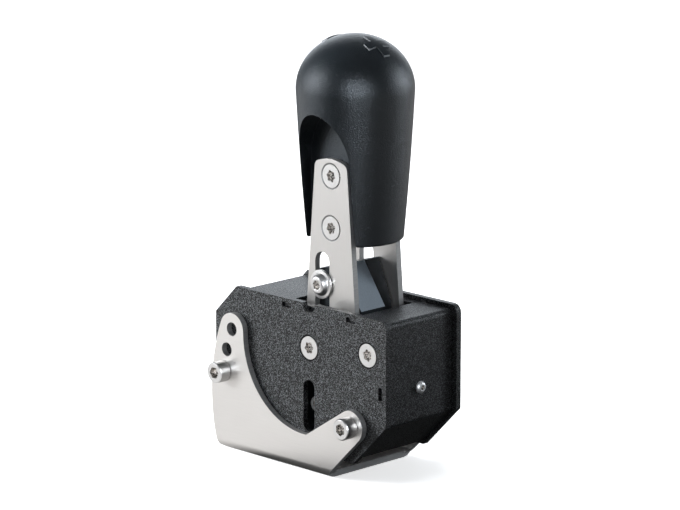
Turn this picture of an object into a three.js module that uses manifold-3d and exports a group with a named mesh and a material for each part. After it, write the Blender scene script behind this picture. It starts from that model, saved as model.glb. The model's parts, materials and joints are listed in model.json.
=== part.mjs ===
// Sequential gear shifter for a driving simulator: a lever between two side plates that
// magnets pull back to the middle, on a folded bracket that bolts to a rig.
//
// Units are millimetres. +X runs along the side plates to the end with the cover screw,
// +Y along the lever's pivot to the far side plate, and +Z up. X = 0 is the pivot line,
// Y = 0 the middle plane, and Z = 0 the underside of the bracket.
import * as THREE from 'three';
import { mergeVertices } from 'three/addons/utils/BufferGeometryUtils.js';
import Module from 'manifold-3d';

const wasm = await Module();
wasm.setup();

// Clearances and facets
const seat = 0.3; // gap where one piece seats on another
const overrun = 1; // how far a cutting solid runs past the faces that it cuts
const looksFlush = 0.1; // how far a head stays below the face that it is flush with
const roundSides = 24;
const screwSides = 18;
const knobSides = 48;
const hexSides = 6;
const lobes = 6; // of a six-lobed key
const cornerSteps = 4;
const curveSteps = 10;
const flankSteps = 6;
const domeSteps = 10;
const samePoint = 0.001; // points closer than this are one
const quarterTurn = Math.PI / 2;
const halfTurn = Math.PI;
const degree = Math.PI / 180;

// Side plates
const plateSheet = 3;
const innerWidth = 43;
const plateFront = 49.5;
const plateRear = 62.5;
const plateHeight = 70;
const floorGap = 6.3; // from the bracket's floor up to the plates
const topRearChamfer = 14.2;
const lowFrontChamfer = 20.8;
const lowRearChamfer = 13;
const topFrontRadius = 4;
const notchRadius = 4.2;
const forceSlotWidth = 7.3;
const forceSlotHeight = 24.6;
const tabRecess = 1.1; // how far the covers' tabs stay below the plates' outer faces

// Bracket
const bracketSheet = 3;
const bracketBend = 2; // inner bend radius
const bracketFloorFront = 15.2;
const frontBoltX = 29.9;
const frontBoltZ = 27.4;
const tiltReach = 84.3; // from the front bolt to each rear hole
const tiltStep = 7.4 * degree;
const tiltHoles = 3;
const earRadius = 7.7;
const earNoseAngle = 45 * degree;
const shoulderAngle = 32.9 * degree;
const scoopRadius = 40.4;
const scoopLift = 31.1; // from the front bolt up to the scoop's centre
const heelRise = 3;
const heelRun = 4.3;
const rigHoleWidth = 6.6;
const rigHolePitchX = 50;
const rigHolePitchY = 30;
const rigHoleMiddleX = -20;

// Covers
const coverSheet = 1.8;
const coverBend = 0.7; // inner bend radius
const topInset = 2.1; // from the plates' edge in to the cover
const frontInset = 2.6;
const otherInset = 1.2;
const hoodEndGap = 0.6;
const rearWallDrop = 1.7;
const openingRear = 18;
const openingFront = 26;
const openingHalfWidth = 17;
const tabLength = 5.3;
const topTabRearX = -14.6;
const topTabFrontX = 27.1;
const floorTabX = -27;
const rearTabRise = 23.7; // above the plates' lower edge
const coverScrewRise = 14.3; // above the front chamfer
const frontTabRise = 0.9; // above the cover screw
const baseFlange = 7.6; // above the cover screw

// Lever pivot and the upper tie, measured down from the plates' top edge
const pivotDrop = 20.8;
const shaftRadius = 5;
const bearingRadius = 9.5;
const bearingWidth = 5;
const spacerWall = 1.7;
const upperTieX = 37.7;
const upperTieDrop = 17.4;
const tieRadius = 5;
const rearTieRadius = 4.4;

// Lever core, heights above the pivot and half widths
const coreHalfWidth = 12.5;
const coreTop = 38.4; // of its front edge
const coreRearTop = 33.8;
const coreTopHalf = 8.5;
const coreFoot = 18.6;
const coreLip = 4.4;
const coreFrontFoot = 17;
const coreRearFoot = 13;
const coreNeck = 11;
const ribFront = 22;
const ribSide = 3;
const ribLip = 2.6;
const hubRadius = 14;
const hubBore = 6.2;
const tailHalfLength = 6.5;
const tailHalfWidth = 5;
const tailBelowBlock = 0.5;

// Arms and knob, heights above the pivot
const armSheet = 3;
const armMiddleX = 5.5;
const armBottom = 15;
const armPeak = 88.7; // where the two slopes of its crowned top meet
const armShoulderDrop = 3;
const armBottomWidth = 31.8;
const armTopWidth = 20.6;
const armCrownRadius = 20;
const armShoulderRadius = 3.2;
const prongRadius = 2.4;
const prongCornerShare = 0.45; // most of a prong's width that one corner's radius takes
const armSlotWidth = 9.2;
const armSlotTop = 43.9;
const clampHeight = 28.7;
const lowerArmScrew = 55.7;
const upperArmScrew = 79.9;
const knobBottom = 49;
const knobBottomRadius = 22.3;
const knobShoulder = 118.5;
const knobRadius = 27.2;
const knobDome = 25;
const knobSwell = 0.35; // how far the flank bulges past a straight taper
const knobBevel = 0.8;
const pocketHalfWidth = 15.8;
const pocketSpring = 87.5;
const pocketTop = 109.5;

// Force block on the lever's tail, with its magnets
const blockRise = 21.7; // from the plates' lower edge up to its middle
const blockHeight = 18;
const blockHalfLength = 11;
const blockHalfWidth = 16;
const forceTravel = 4; // each way along the tail
const magnetRadius = 5;
const magnetDepth = 3;

// Cradle with the fixed magnets and the travel stops
const cradleFloor = 3.6;
const cradleHalfWidth = 18;
const cradleFoot = 1.4; // how far its floor runs on past the posts
const swingRoom = 7.5; // from the force block to each post
const postThickness = 4;
const postHalfWidth = 9;
const postAboveMagnet = 10;
const cradleMagnetRise = 3; // above the force block's middle
const cradlePocket = 1;
const stopThickness = 1.6;
const stopWidth = 2.4; // of the rubber ring round each fixed magnet

// Sensor board, measured up and down from the pivot
const boardSheet = 1.6;
const boardFaceY = 14;
const boardRearX = -58;
const boardFrontX = -10;
const boardAbove = 3;
const boardBelow = 11;
const boardScrewDrop = 7.1;
const boardScrewRearX = -48;
const boardScrewFrontX = -22;
const standoffRadius = 3;
const socketLength = 8;
const socketWidth = 9;
const socketHeight = 3.3;
const socketDrop = 3.9;
const socketWall = 0.5;
const socketTongue = 1;
const sensorOffset = 12; // from the pivot to the sensor magnet
const sensorMagnetRadius = 1.5;
const sensorMagnetDepth = 2;
const chipSize = 3;
const chipHeight = 0.8;

// Screws: shank radius, length under the head, head radius and height, key width and depth
const capScrew = { shank: 3, length: 16, head: 5, height: 6, key: 5, keyDepth: 3 };
const armScrew = { shank: 3, length: 12, head: 5.6, height: 0.2, key: 5.3, keyDepth: 2 };
const clampScrew = { shank: 3, length: 14, head: 6.8, height: 3.6, key: 4, keyDepth: 2 };
const coverScrew = { shank: 1.5, length: 8, head: 2.85, height: 1.8, key: 2, keyDepth: 1 };
const blockScrew = { shank: 2, length: 13.8, head: 3.6, height: 4, key: 3, keyDepth: 2 };
const cradleScrew = { shank: 1.5, length: 4.6, head: 2.8, height: 0.1, key: 2.2, keyDepth: 0.8 };
const boardScrew = { shank: 1.5, length: 5.5, head: 2.7, height: 1.8, key: 2, keyDepth: 1 };
const capEdgeShare = 0.08; // bevel of a cap head, as a share of its radius
const screwTipShare = 0.2; // bevel of a screw's tip, as a share of its shank
const lobeDepthShare = 0.72; // inner radius of a six-lobed key over its outer radius
const buttonShares = [[0.56, 1], [0.86, 0.62], [1, 0.16]]; // radius and height of a button head
const flangeShares = [[0.42, 1], [0.62, 0.84], [0.76, 0.4], [0.97, 0.28]];
const coverNut = { key: 5.5, height: 2.4 };

// Heights and faces that several pieces share
const plateInnerY = innerWidth / 2;
const plateOuterY = plateInnerY + plateSheet;
const plateBottomZ = bracketSheet + floorGap;
const plateTopZ = plateBottomZ + plateHeight;
const pivotZ = plateTopZ - pivotDrop;
const upperTieZ = plateTopZ - upperTieDrop;
const blockZ = plateBottomZ + blockRise;
const scoopZ = frontBoltZ + scoopLift;
const bracketOuterY = plateOuterY + seat + bracketSheet;
const betweenPlates = plateInnerY - seat;
const armInnerY = coreHalfWidth + seat;
const armOuterY = armInnerY + armSheet;
const hoodTopZ = plateTopZ - topInset;
const hoodFrontX = plateFront - frontInset;
const coverRearX = -plateRear + otherInset;
const coverFloorZ = plateBottomZ + otherInset;
const coverScrewZ = plateBottomZ + lowFrontChamfer + coverScrewRise;
const frontTabZ = coverScrewZ + frontTabRise;
const rearTabZ = plateBottomZ + rearTabRise;
const rearBolts = Array.from({ length: tiltHoles }, (_, i) => [
  frontBoltX - tiltReach * Math.cos(tiltStep * (i + 1)),
  frontBoltZ + tiltReach * Math.sin(tiltStep * (i + 1)),
]);
const [rearBoltX, rearBoltZ] = rearBolts[0];
const boardOuterY = boardFaceY + boardSheet;
const socketFaceY = boardFaceY - seat;
const boardScrewZ = pivotZ - boardScrewDrop;
const socketZ = pivotZ - socketDrop;
const cradleFloorZ = coverFloorZ + coverSheet + seat;
const postInnerX = blockHalfLength + swingRoom;
const postOuterX = postInnerX + postThickness;
const cradleMagnetX = postInnerX + cradlePocket - seat;
const cradleMagnetZ = blockZ + cradleMagnetRise;
const cradleScrewX = (postInnerX + postOuterX) / 2;

// Finishes
const finishes = {
  powderCoat: { color: '#3c3c3f', roughness: 0.7, metalness: 0.1 },
  stainless: { color: '#d6d2cc', roughness: 0.35, metalness: 1 },
  screwSteel: { color: '#dcdad6', roughness: 0.22, metalness: 1 },
  blackSteel: { color: '#2a2b2e', roughness: 0.45, metalness: 0.6 },
  anodised: { color: '#3a3f48', roughness: 0.5, metalness: 0.3 },
  knobPlastic: { color: '#25272b', roughness: 0.42, metalness: 0 },
  magnet: { color: '#b9bbc0', roughness: 0.25, metalness: 1 },
  rubber: { color: '#1b1b1b', roughness: 0.9, metalness: 0 },
  boardGreen: { color: '#1d4a35', roughness: 0.5, metalness: 0 },
  chipBlack: { color: '#161618', roughness: 0.5, metalness: 0 },
};

// Solids

function solidOf(geometry) {
  const bare = geometry.clone();
  bare.deleteAttribute('normal');
  bare.deleteAttribute('uv');
  const welded = mergeVertices(bare);
  const corners = Array.from(welded.index.array);
  const faces = [];
  for (let i = 0; i < corners.length; i += 3) {
    const [a, b, c] = corners.slice(i, i + 3);
    if (a !== b && b !== c && c !== a) faces.push(a, b, c);
  }
  return new wasm.Manifold(new wasm.Mesh({
    numProp: 3,
    vertProperties: new Float32Array(welded.attributes.position.array),
    triVerts: new Uint32Array(faces),
  }));
}

function geometryOf(solid) {
  const mesh = solid.getMesh();
  const geometry = new THREE.BufferGeometry();
  geometry.setAttribute('position', new THREE.BufferAttribute(mesh.vertProperties, 3));
  geometry.setIndex(new THREE.BufferAttribute(mesh.triVerts, 1));
  geometry.computeVertexNormals();
  return geometry;
}

function cut(solid, ...tools) {
  return tools.reduce((rest, tool) => rest.subtract(tool), solid);
}

function join(...solids) {
  return solids.reduce((whole, piece) => whole.add(piece));
}

// Two distances from the middle, as low and high coordinates on one side of it
function span(side, [inner, outer]) {
  return side > 0 ? [inner, outer] : [-outer, -inner];
}

function box([x0, x1], [y0, y1], [z0, z1]) {
  const geometry = new THREE.BoxGeometry(x1 - x0, y1 - y0, z1 - z0);
  return solidOf(geometry.translate((x0 + x1) / 2, (y0 + y1) / 2, (z0 + z1) / 2));
}

// A round bar along Y, X or Z, from one end to the other
function barY(radius, [x, z], [y0, y1], sides = roundSides) {
  const geometry = new THREE.CylinderGeometry(radius, radius, y1 - y0, sides);
  return solidOf(geometry.translate(x, (y0 + y1) / 2, z));
}

function barX(radius, [y, z], [x0, x1], sides = roundSides) {
  const geometry = new THREE.CylinderGeometry(radius, radius, x1 - x0, sides);
  return solidOf(geometry.rotateZ(quarterTurn).translate((x0 + x1) / 2, y, z));
}

function barZ(radius, [x, y], [z0, z1], sides = roundSides) {
  const geometry = new THREE.CylinderGeometry(radius, radius, z1 - z0, sides);
  return solidOf(geometry.rotateX(quarterTurn).translate(x, y, (z0 + z1) / 2));
}

// A tube along Y or X between two faces
function tubeY(radius, bore, [x, z], [y0, y1]) {
  return cut(barY(radius, [x, z], [y0, y1]), barY(bore, [x, z], [y0 - overrun, y1 + overrun]));
}

function tubeX(radius, bore, [y, z], [x0, x1]) {
  return cut(barX(radius, [y, z], [x0, x1]), barX(bore, [y, z], [x0 - overrun, x1 + overrun]));
}

// The same shape without points that fall on the one before
function withoutRepeats(shape) {
  const points = shape.getPoints(curveSteps);
  return new THREE.Shape(points.filter((point, i) =>
    point.distanceTo(points[(i + points.length - 1) % points.length]) > samePoint));
}

// A shape drawn in X and Z, pushed along Y
function alongY(shape, [y0, y1]) {
  const geometry = new THREE.ExtrudeGeometry(withoutRepeats(shape),
    { depth: y1 - y0, bevelEnabled: false });
  return solidOf(geometry.rotateX(quarterTurn).translate(0, y1, 0));
}

// A shape drawn in Y and Z, pushed along X
function alongX(shape, [x0, x1]) {
  const geometry = new THREE.ExtrudeGeometry(withoutRepeats(shape),
    { depth: x1 - x0, bevelEnabled: false });
  const turn = new THREE.Matrix4().makeBasis(
    new THREE.Vector3(0, 1, 0), new THREE.Vector3(0, 0, 1), new THREE.Vector3(1, 0, 0));
  return solidOf(geometry.applyMatrix4(turn).translate(x0, 0, 0));
}

// Outlines

// The points of a corner rounded to a radius, between the corners before and after it
function roundedCorner(before, corner, after, radius) {
  if (!radius) return [corner.clone()];
  const back = before.clone().sub(corner).normalize();
  const on = after.clone().sub(corner).normalize();
  const half = back.angleTo(on) / 2;
  const middle = back.clone().add(on).normalize().multiplyScalar(radius / Math.sin(half));
  const centre = corner.clone().add(middle);
  const start = corner.clone().addScaledVector(back, radius / Math.tan(half)).sub(centre);
  const sweep = (halfTurn - half * 2) * Math.sign(on.cross(back));
  return Array.from({ length: cornerSteps + 1 }, (_, i) =>
    start.clone().rotateAround(new THREE.Vector2(), sweep * i / cornerSteps).add(centre));
}

// A closed outline from corners given as x, z and radius
function outline(corners) {
  const points = corners.map(([x, z]) => new THREE.Vector2(x, z));
  const count = points.length;
  return new THREE.Shape(points.flatMap((point, i) => roundedCorner(
    points[(i + count - 1) % count], point, points[(i + 1) % count], corners[i][2])));
}

// A slot with round ends, its longer side along Z
function slotOutline(x, z, width, height) {
  const [left, right] = [x - width / 2, x + width / 2];
  const [low, high] = [z - height / 2, z + height / 2];
  const end = width / 2;
  return outline([[left, low, end], [right, low, end], [right, high, end], [left, high, end]]);
}

// The end of a folded sheet: its outer corners in clockwise order, its inside on the right
function foldedSheet(corners, sheet, bend) {
  const outer = corners.map(([a, b]) => new THREE.Vector2(a, b));
  const last = outer.length - 1;
  const inward = outer.slice(1).map((point, i) => {
    const along = point.clone().sub(outer[i]).normalize();
    return new THREE.Vector2(along.y, -along.x);
  });
  const inner = outer.map((point, i) => {
    const [a, b] = [inward[Math.max(i - 1, 0)], inward[Math.min(i, last - 1)]];
    return point.clone().addScaledVector(a.clone().add(b), sheet / (a.dot(b) + 1));
  });
  const rounded = (path, radius) => path.flatMap((point, i) =>
    roundedCorner(path[Math.max(i - 1, 0)], point, path[Math.min(i + 1, last)],
      i > 0 && i < last ? radius : 0));
  return new THREE.Shape([...rounded(outer, bend + sheet), ...rounded(inner, bend).reverse()]);
}

// Screws, with the head towards -Y and the seat at Y = 0

function hexKey(across, [y0, y1]) {
  const radius = across / 2 / Math.cos(halfTurn / hexSides);
  return barY(radius, [0, 0], [y0, y1], hexSides);
}

function lobedKey(across, [y0, y1]) {
  const shape = new THREE.Shape(Array.from({ length: lobes * 2 }, (_, i) => {
    const radius = across / 2 * (i % 2 ? lobeDepthShare : 1);
    return new THREE.Vector2(radius, 0).rotateAround(new THREE.Vector2(), i * halfTurn / lobes);
  }));
  return alongY(shape, [y0, y1]);
}

function turnedScrew(size, headProfile, keyTool) {
  const tip = size.shank * screwTipShare;
  const profile = [
    [0, headProfile[0][1]],
    ...headProfile,
    [size.shank, size.length - tip],
    [size.shank - tip, size.length],
    [0, size.length],
  ].map(([radius, y]) => new THREE.Vector2(radius, y));
  return cut(solidOf(new THREE.LatheGeometry(profile, screwSides)), keyTool);
}

function capScrewSolid(size) {
  const edge = size.head * capEdgeShare;
  const top = -size.height;
  const head = [[size.head - edge, top], [size.head, top + edge], [size.head, 0], [size.shank, 0]];
  return turnedScrew(size, head, hexKey(size.key, [top - overrun, top + size.keyDepth]));
}

function roundHeadScrewSolid(size, shares) {
  const top = -size.height;
  const head = shares.map(([radius, height]) => [size.head * radius, top * height]);
  head.push([size.head, 0], [size.shank, 0]);
  return turnedScrew(size, head, hexKey(size.key, [top - overrun, top + size.keyDepth]));
}

function countersunkScrewSolid(size) {
  const head = [[size.head, 0], [size.head, size.height]];
  head.push([size.shank, size.height + size.head - size.shank]);
  return turnedScrew(size, head, lobedKey(size.key, [-overrun, size.keyDepth]));
}

// The hole for a countersunk screw whose face is flush with Y = 0, through a sheet
function countersinkHole(size, depth) {
  const hole = size.shank + seat;
  const mouth = size.head + seat * Math.SQRT2 + size.height;
  const profile = [
    [0, -overrun], [mouth, -overrun], [mouth, 0], [hole, mouth - hole], [hole, depth], [0, depth],
  ].map(([radius, y]) => new THREE.Vector2(radius, y));
  return new THREE.LatheGeometry(profile, roundSides);
}

// A turned geometry with its head towards -Y, put at a place on the near or the far side
function onSide(side, geometry, [x, y, z]) {
  const turned = side > 0 ? geometry.clone().rotateZ(halfTurn) : geometry.clone();
  return solidOf(turned.translate(x, side * y, z));
}

// Bracket

function bracketOutline() {
  const nose = [frontBoltX + earRadius * Math.cos(-earNoseAngle),
    frontBoltZ + earRadius * Math.sin(-earNoseAngle)];
  const noseFoot = nose[1] - (nose[0] - bracketFloorFront) * Math.tan(earNoseAngle);
  const shoulder = [frontBoltX - earRadius * Math.sin(shoulderAngle),
    frontBoltZ + earRadius * Math.cos(shoulderAngle)];
  // Where the straight shoulder meets the scoop
  const line = new THREE.Vector2(-Math.cos(shoulderAngle), -Math.sin(shoulderAngle));
  const fromCentre = new THREE.Vector2(shoulder[0], shoulder[1] - scoopZ);
  const along = -fromCentre.dot(line);
  const across = Math.abs(fromCentre.cross(line));
  const meet = fromCentre.addScaledVector(line, along + Math.sqrt(scoopRadius ** 2 - across ** 2));
  const [earX, earZ] = rearBolts[tiltHoles - 1];
  const outerRadius = tiltReach + earRadius;
  const heelAngle = Math.asin((frontBoltZ - heelRise) / outerRadius);
  const heelX = frontBoltX - outerRadius * Math.cos(heelAngle);
  const shape = new THREE.Shape();
  shape.moveTo(bracketFloorFront, 0);
  shape.lineTo(bracketFloorFront, noseFoot);
  shape.lineTo(nose[0], nose[1]);
  shape.absarc(frontBoltX, frontBoltZ, earRadius, -earNoseAngle, quarterTurn + shoulderAngle, false);
  shape.lineTo(meet.x, meet.y + scoopZ);
  shape.absarc(0, scoopZ, scoopRadius, meet.angle(), halfTurn, true);
  shape.absarc(earX, earZ, earRadius, 0, halfTurn - tiltStep * tiltHoles, false);
  shape.absarc(frontBoltX, frontBoltZ, outerRadius, halfTurn - tiltStep * tiltHoles,
    halfTurn + heelAngle, false);
  shape.quadraticCurveTo(heelX, 0, heelX + heelRun, 0);
  return shape;
}

function bracketSolid() {
  const top = rearBolts[tiltHoles - 1][1] + earRadius + overrun;
  const rear = frontBoltX - tiltReach - earRadius - overrun;
  const front = frontBoltX + earRadius + overrun;
  const fold = foldedSheet([
    [bracketOuterY, top], [bracketOuterY, 0], [-bracketOuterY, 0], [-bracketOuterY, top],
  ], bracketSheet, bracketBend);
  const folded = alongX(fold, [rear, front]);
  const sides = alongY(bracketOutline(), [-bracketOuterY - overrun, bracketOuterY + overrun]);
  const bend = bracketSheet + bracketBend;
  const floorEnd = box([bracketFloorFront, front],
    [bend - bracketOuterY, bracketOuterY - bend], [-overrun, bracketSheet + overrun]);
  const through = [-bracketOuterY - overrun, bracketOuterY + overrun];
  const boltHoles = [[frontBoltX, frontBoltZ], ...rearBolts].map((place) =>
    barY(capScrew.shank + seat, place, through));
  const rigHoles = [-1, 1].flatMap((x) => [-1, 1].map((y) =>
    barZ(rigHoleWidth / 2, [rigHoleMiddleX + x * rigHolePitchX / 2, y * rigHolePitchY / 2],
      [-overrun, bracketSheet + overrun])));
  return cut(folded.intersect(sides), floorEnd, ...boltHoles, ...rigHoles);
}

// Side plates

function plateOutline() {
  return outline([
    [-plateRear + lowRearChamfer, plateBottomZ, 0],
    [plateFront - lowFrontChamfer, plateBottomZ, 0],
    [plateFront, plateBottomZ + lowFrontChamfer, 0],
    [plateFront, plateTopZ, topFrontRadius],
    [-plateRear + topRearChamfer, plateTopZ, 0],
    [-plateRear, plateTopZ - topRearChamfer, 0],
    [-plateRear, plateBottomZ + lowRearChamfer, 0],
  ]);
}

// Middle and half sizes, in X and Z, of each cover tab
const tabs = {
  hood: [
    [topTabRearX, hoodTopZ - coverSheet / 2, tabLength / 2, coverSheet / 2],
    [topTabFrontX, hoodTopZ - coverSheet / 2, tabLength / 2, coverSheet / 2],
    [hoodFrontX - coverSheet / 2, frontTabZ, coverSheet / 2, tabLength / 2],
  ],
  base: [
    [floorTabX, coverFloorZ + coverSheet / 2, tabLength / 2, coverSheet / 2],
    [coverRearX + coverSheet / 2, rearTabZ, coverSheet / 2, tabLength / 2],
  ],
};

function tabSolid([x, z, halfX, halfZ], grow, [y0, y1]) {
  return box([x - halfX - grow, x + halfX + grow], [y0, y1], [z - halfZ - grow, z + halfZ + grow]);
}

function plateSolid(side) {
  const ys = span(side, [plateInnerY, plateOuterY]);
  const through = [ys[0] - overrun, ys[1] + overrun];
  const sunk = countersinkHole(armScrew, plateSheet + overrun);
  return cut(
    alongY(plateOutline(), ys),
    onSide(side, sunk, [0, plateOuterY, pivotZ]),
    onSide(side, sunk, [upperTieX, plateOuterY, upperTieZ]),
    barY(capScrew.shank + seat, [frontBoltX, frontBoltZ], through),
    barY(capScrew.shank + seat, [rearBoltX, rearBoltZ], through),
    barY(notchRadius, [0, plateTopZ], through),
    alongY(slotOutline(0, blockZ, forceSlotWidth, forceSlotHeight), through),
    ...[...tabs.hood, ...tabs.base].map((tab) => tabSolid(tab, seat, through)),
  );
}

// Covers

// Where a cover's level or upright face meets the face along a 45 degree chamfer
const chamferInset = otherInset * Math.SQRT2;
const hoodTopRear = [-plateRear - plateTopZ + topRearChamfer + chamferInset + hoodTopZ, hoodTopZ];
const hoodRearEnd = [coverRearX,
  coverRearX + plateRear + plateTopZ - topRearChamfer - chamferInset];
const lowFrontLine = plateFront - plateBottomZ - lowFrontChamfer - chamferInset; // X less Z
const lowRearLine = -plateRear + plateBottomZ + lowRearChamfer + chamferInset; // X plus Z
const doubleSheet = coverSheet + seat;

function coverWithTabs(corners, tabList) {
  const width = [-betweenPlates, betweenPlates];
  const tabEnds = plateOuterY - tabRecess;
  return join(alongY(foldedSheet(corners, coverSheet, coverBend), width),
    ...tabList.map((tab) => tabSolid(tab, 0, [-tabEnds, tabEnds])));
}

function insideOpening() {
  return box([-openingRear, openingFront], [-openingHalfWidth, openingHalfWidth],
    [hoodTopZ - coverSheet - overrun, hoodTopZ + overrun]);
}

function hoodSolid() {
  const hood = coverWithTabs([
    hoodRearEnd, hoodTopRear, [hoodFrontX, hoodTopZ], [hoodFrontX, hoodFrontX - lowFrontLine],
    [lowFrontLine + coverFloorZ + hoodEndGap, coverFloorZ + hoodEndGap],
  ], tabs.hood);
  const screwHole = barX(coverScrew.shank + seat, [0, coverScrewZ],
    [hoodFrontX - coverSheet - overrun, hoodFrontX + overrun], screwSides);
  return cut(hood, insideOpening(), screwHole);
}

function baseSolid() {
  const flangeX = hoodFrontX - doubleSheet;
  const flangeLine = lowFrontLine - doubleSheet * Math.SQRT2;
  const base = coverWithTabs([
    [flangeX, coverScrewZ + baseFlange], [flangeX, flangeX - flangeLine],
    [flangeLine + coverFloorZ, coverFloorZ], [lowRearLine - coverFloorZ, coverFloorZ],
    [coverRearX, lowRearLine - coverRearX], [coverRearX, hoodRearEnd[1] - rearWallDrop],
  ], tabs.base);
  const screwHole = barX(coverScrew.shank + seat, [0, coverScrewZ],
    [flangeX - coverSheet - overrun, flangeX + overrun], screwSides);
  const socketWindow = box([coverRearX - overrun, coverRearX + coverSheet + overrun],
    [socketFaceY - socketHeight - seat, socketFaceY + seat],
    [socketZ - socketWidth / 2 - seat, socketZ + socketWidth / 2 + seat]);
  const cradleHoles = [-cradleScrewX, cradleScrewX].map((x) => solidOf(
    countersinkHole(cradleScrew, coverSheet + overrun).rotateX(quarterTurn)
      .translate(x, 0, coverFloorZ)));
  return cut(base, screwHole, socketWindow, ...cradleHoles);
}

// Lever, with its heights measured from the pivot

function coreSolid() {
  const width = [-coreHalfWidth, coreHalfWidth];
  const body = outline([
    [-coreTopHalf, coreRearTop, 0], [-coreRearFoot, coreFoot, 0],
    [-coreRearFoot, coreFoot - coreLip, 0], [-coreNeck, 0, 0],
    [coreNeck, 0, 0], [coreFrontFoot, coreFoot - coreLip, 0],
    [coreFrontFoot, coreFoot, 0], [coreTopHalf, coreTop, 0],
  ]);
  const rib = outline([
    [0, coreFoot, 0], [0, coreFoot - coreLip, 0],
    [ribFront, coreFoot - ribLip, 0], [ribFront, coreFoot, 0],
    [coreTopHalf, coreTop, 0],
  ]);
  const blockDrop = blockZ - pivotZ;
  const tail = box([-tailHalfLength, tailHalfLength], [-tailHalfWidth, tailHalfWidth],
    [blockDrop - blockHeight / 2 - tailBelowBlock, 0]);
  const past = [-coreHalfWidth - overrun, coreHalfWidth + overrun];
  const slotWidth = (blockScrew.shank + seat) * 2;
  const seats = [-1, 1].map((side) => onSide(side,
    new THREE.CylinderGeometry(bearingRadius + seat, bearingRadius + seat,
      bearingWidth + seat + overrun, roundSides),
    [0, coreHalfWidth + (overrun - bearingWidth - seat) / 2, 0]));
  return cut(
    join(alongY(body, width), alongY(rib, [-coreHalfWidth, ribSide]),
      barY(hubRadius, [0, 0], width), tail),
    ...seats,
    barY(hubBore, [0, 0], past),
    barY(clampScrew.shank + seat, [0, clampHeight], past),
    alongY(slotOutline(0, blockDrop, slotWidth, slotWidth + forceTravel * 2), past),
    barY(sensorMagnetRadius + seat, [-sensorOffset, 0],
      [coreHalfWidth - sensorMagnetDepth - seat, coreHalfWidth + overrun], screwSides),
  );
}

function armSolid(side) {
  const ys = span(side, [armInnerY, armOuterY]);
  const [bottom, top] = [armBottomWidth / 2, armTopWidth / 2];
  const slot = armSlotWidth / 2;
  const corner = Math.min(prongRadius, (bottom - armMiddleX - slot) * prongCornerShare);
  const shape = outline([
    [armMiddleX - bottom, armBottom, corner], [-slot, armBottom, corner],
    [-slot, armSlotTop, slot], [slot, armSlotTop, slot],
    [slot, armBottom, corner], [armMiddleX + bottom, armBottom, corner],
    [armMiddleX + top, armPeak - armShoulderDrop, armShoulderRadius],
    [armMiddleX, armPeak, armCrownRadius],
    [armMiddleX - top, armPeak - armShoulderDrop, armShoulderRadius],
  ]);
  const sunk = countersinkHole(armScrew, armSheet + overrun);
  return cut(alongY(shape, ys), ...[lowerArmScrew, upperArmScrew].map((z) =>
    onSide(side, sunk, [armMiddleX, armOuterY, z])));
}

function knobProfile() {
  const points = [[0, knobBottom], [knobBottomRadius - knobBevel, knobBottom]];
  const rise = knobShoulder - knobBottom - knobBevel;
  for (let i = 0; i <= flankSteps; i++) {
    const share = i / flankSteps;
    const taper = knobBottomRadius + (knobRadius - knobBottomRadius) * share;
    const swell = knobSwell * Math.sin(Math.PI * share);
    points.push([taper + swell, knobBottom + knobBevel + rise * share]);
  }
  for (let i = 1; i <= domeSteps; i++) {
    const angle = quarterTurn * i / domeSteps;
    const radius = i < domeSteps ? knobRadius * Math.cos(angle) : 0;
    points.push([radius, knobShoulder + knobDome * Math.sin(angle)]);
  }
  return points.map(([radius, z]) => new THREE.Vector2(radius, z));
}

function knobSolid() {
  const turned = new THREE.LatheGeometry(knobProfile(), knobSides).rotateX(quarterTurn);
  const body = solidOf(turned.translate(armMiddleX, 0, 0));
  const arch = new THREE.Shape();
  arch.moveTo(armMiddleX - pocketHalfWidth, knobBottom - overrun);
  arch.lineTo(armMiddleX + pocketHalfWidth, knobBottom - overrun);
  arch.absellipse(armMiddleX, pocketSpring, pocketHalfWidth, pocketTop - pocketSpring,
    0, halfTurn, false, 0);
  const holeEnd = armOuterY - looksFlush - armScrew.length - seat;
  const tools = [-1, 1].flatMap((side) => [
    alongY(arch, span(side, [coreHalfWidth, knobRadius + overrun])),
    ...[lowerArmScrew, upperArmScrew].map((z) => barY(armScrew.shank + seat,
      [armMiddleX, z], span(side, [holeEnd, coreHalfWidth + overrun]), screwSides)),
  ]);
  return cut(body, ...tools);
}

// Force block, about its own middle, and its cradle

function forceBlockSolid() {
  const heights = [-blockHeight / 2, blockHeight / 2];
  const past = [heights[0] - overrun, heights[1] + overrun];
  const pocket = [blockHalfLength - magnetDepth - seat, blockHalfLength + overrun];
  return cut(
    box([-blockHalfLength, blockHalfLength], [-blockHalfWidth, blockHalfWidth], heights),
    box([-tailHalfLength - seat, tailHalfLength + seat],
      [-tailHalfWidth - seat, tailHalfWidth + seat], past),
    barY(blockScrew.shank + seat, [0, 0],
      [-blockHalfWidth - overrun, blockHalfWidth + overrun], screwSides),
    barX(magnetRadius + seat, [0, 0], span(-1, pocket)),
    barX(magnetRadius + seat, [0, 0], span(1, pocket)),
  );
}

function cradleSolid() {
  const floor = box([-postOuterX - cradleFoot, postOuterX + cradleFoot],
    [-cradleHalfWidth, cradleHalfWidth], [cradleFloorZ, cradleFloorZ + cradleFloor]);
  const posts = [-1, 1].map((end) => box(span(end, [postInnerX, postOuterX]),
    [-postHalfWidth, postHalfWidth], [cradleFloorZ, cradleMagnetZ + postAboveMagnet]));
  const pockets = [-1, 1].map((end) => barX(magnetRadius + seat, [0, cradleMagnetZ],
    span(end, [postInnerX - overrun, postInnerX + cradlePocket])));
  const screwHoles = [-cradleScrewX, cradleScrewX].map((x) => barZ(cradleScrew.shank + seat,
    [x, 0], [cradleFloorZ - overrun, coverFloorZ + cradleScrew.length + overrun], screwSides));
  return cut(join(floor, ...posts), ...pockets, ...screwHoles);
}

// Sensor board

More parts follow.
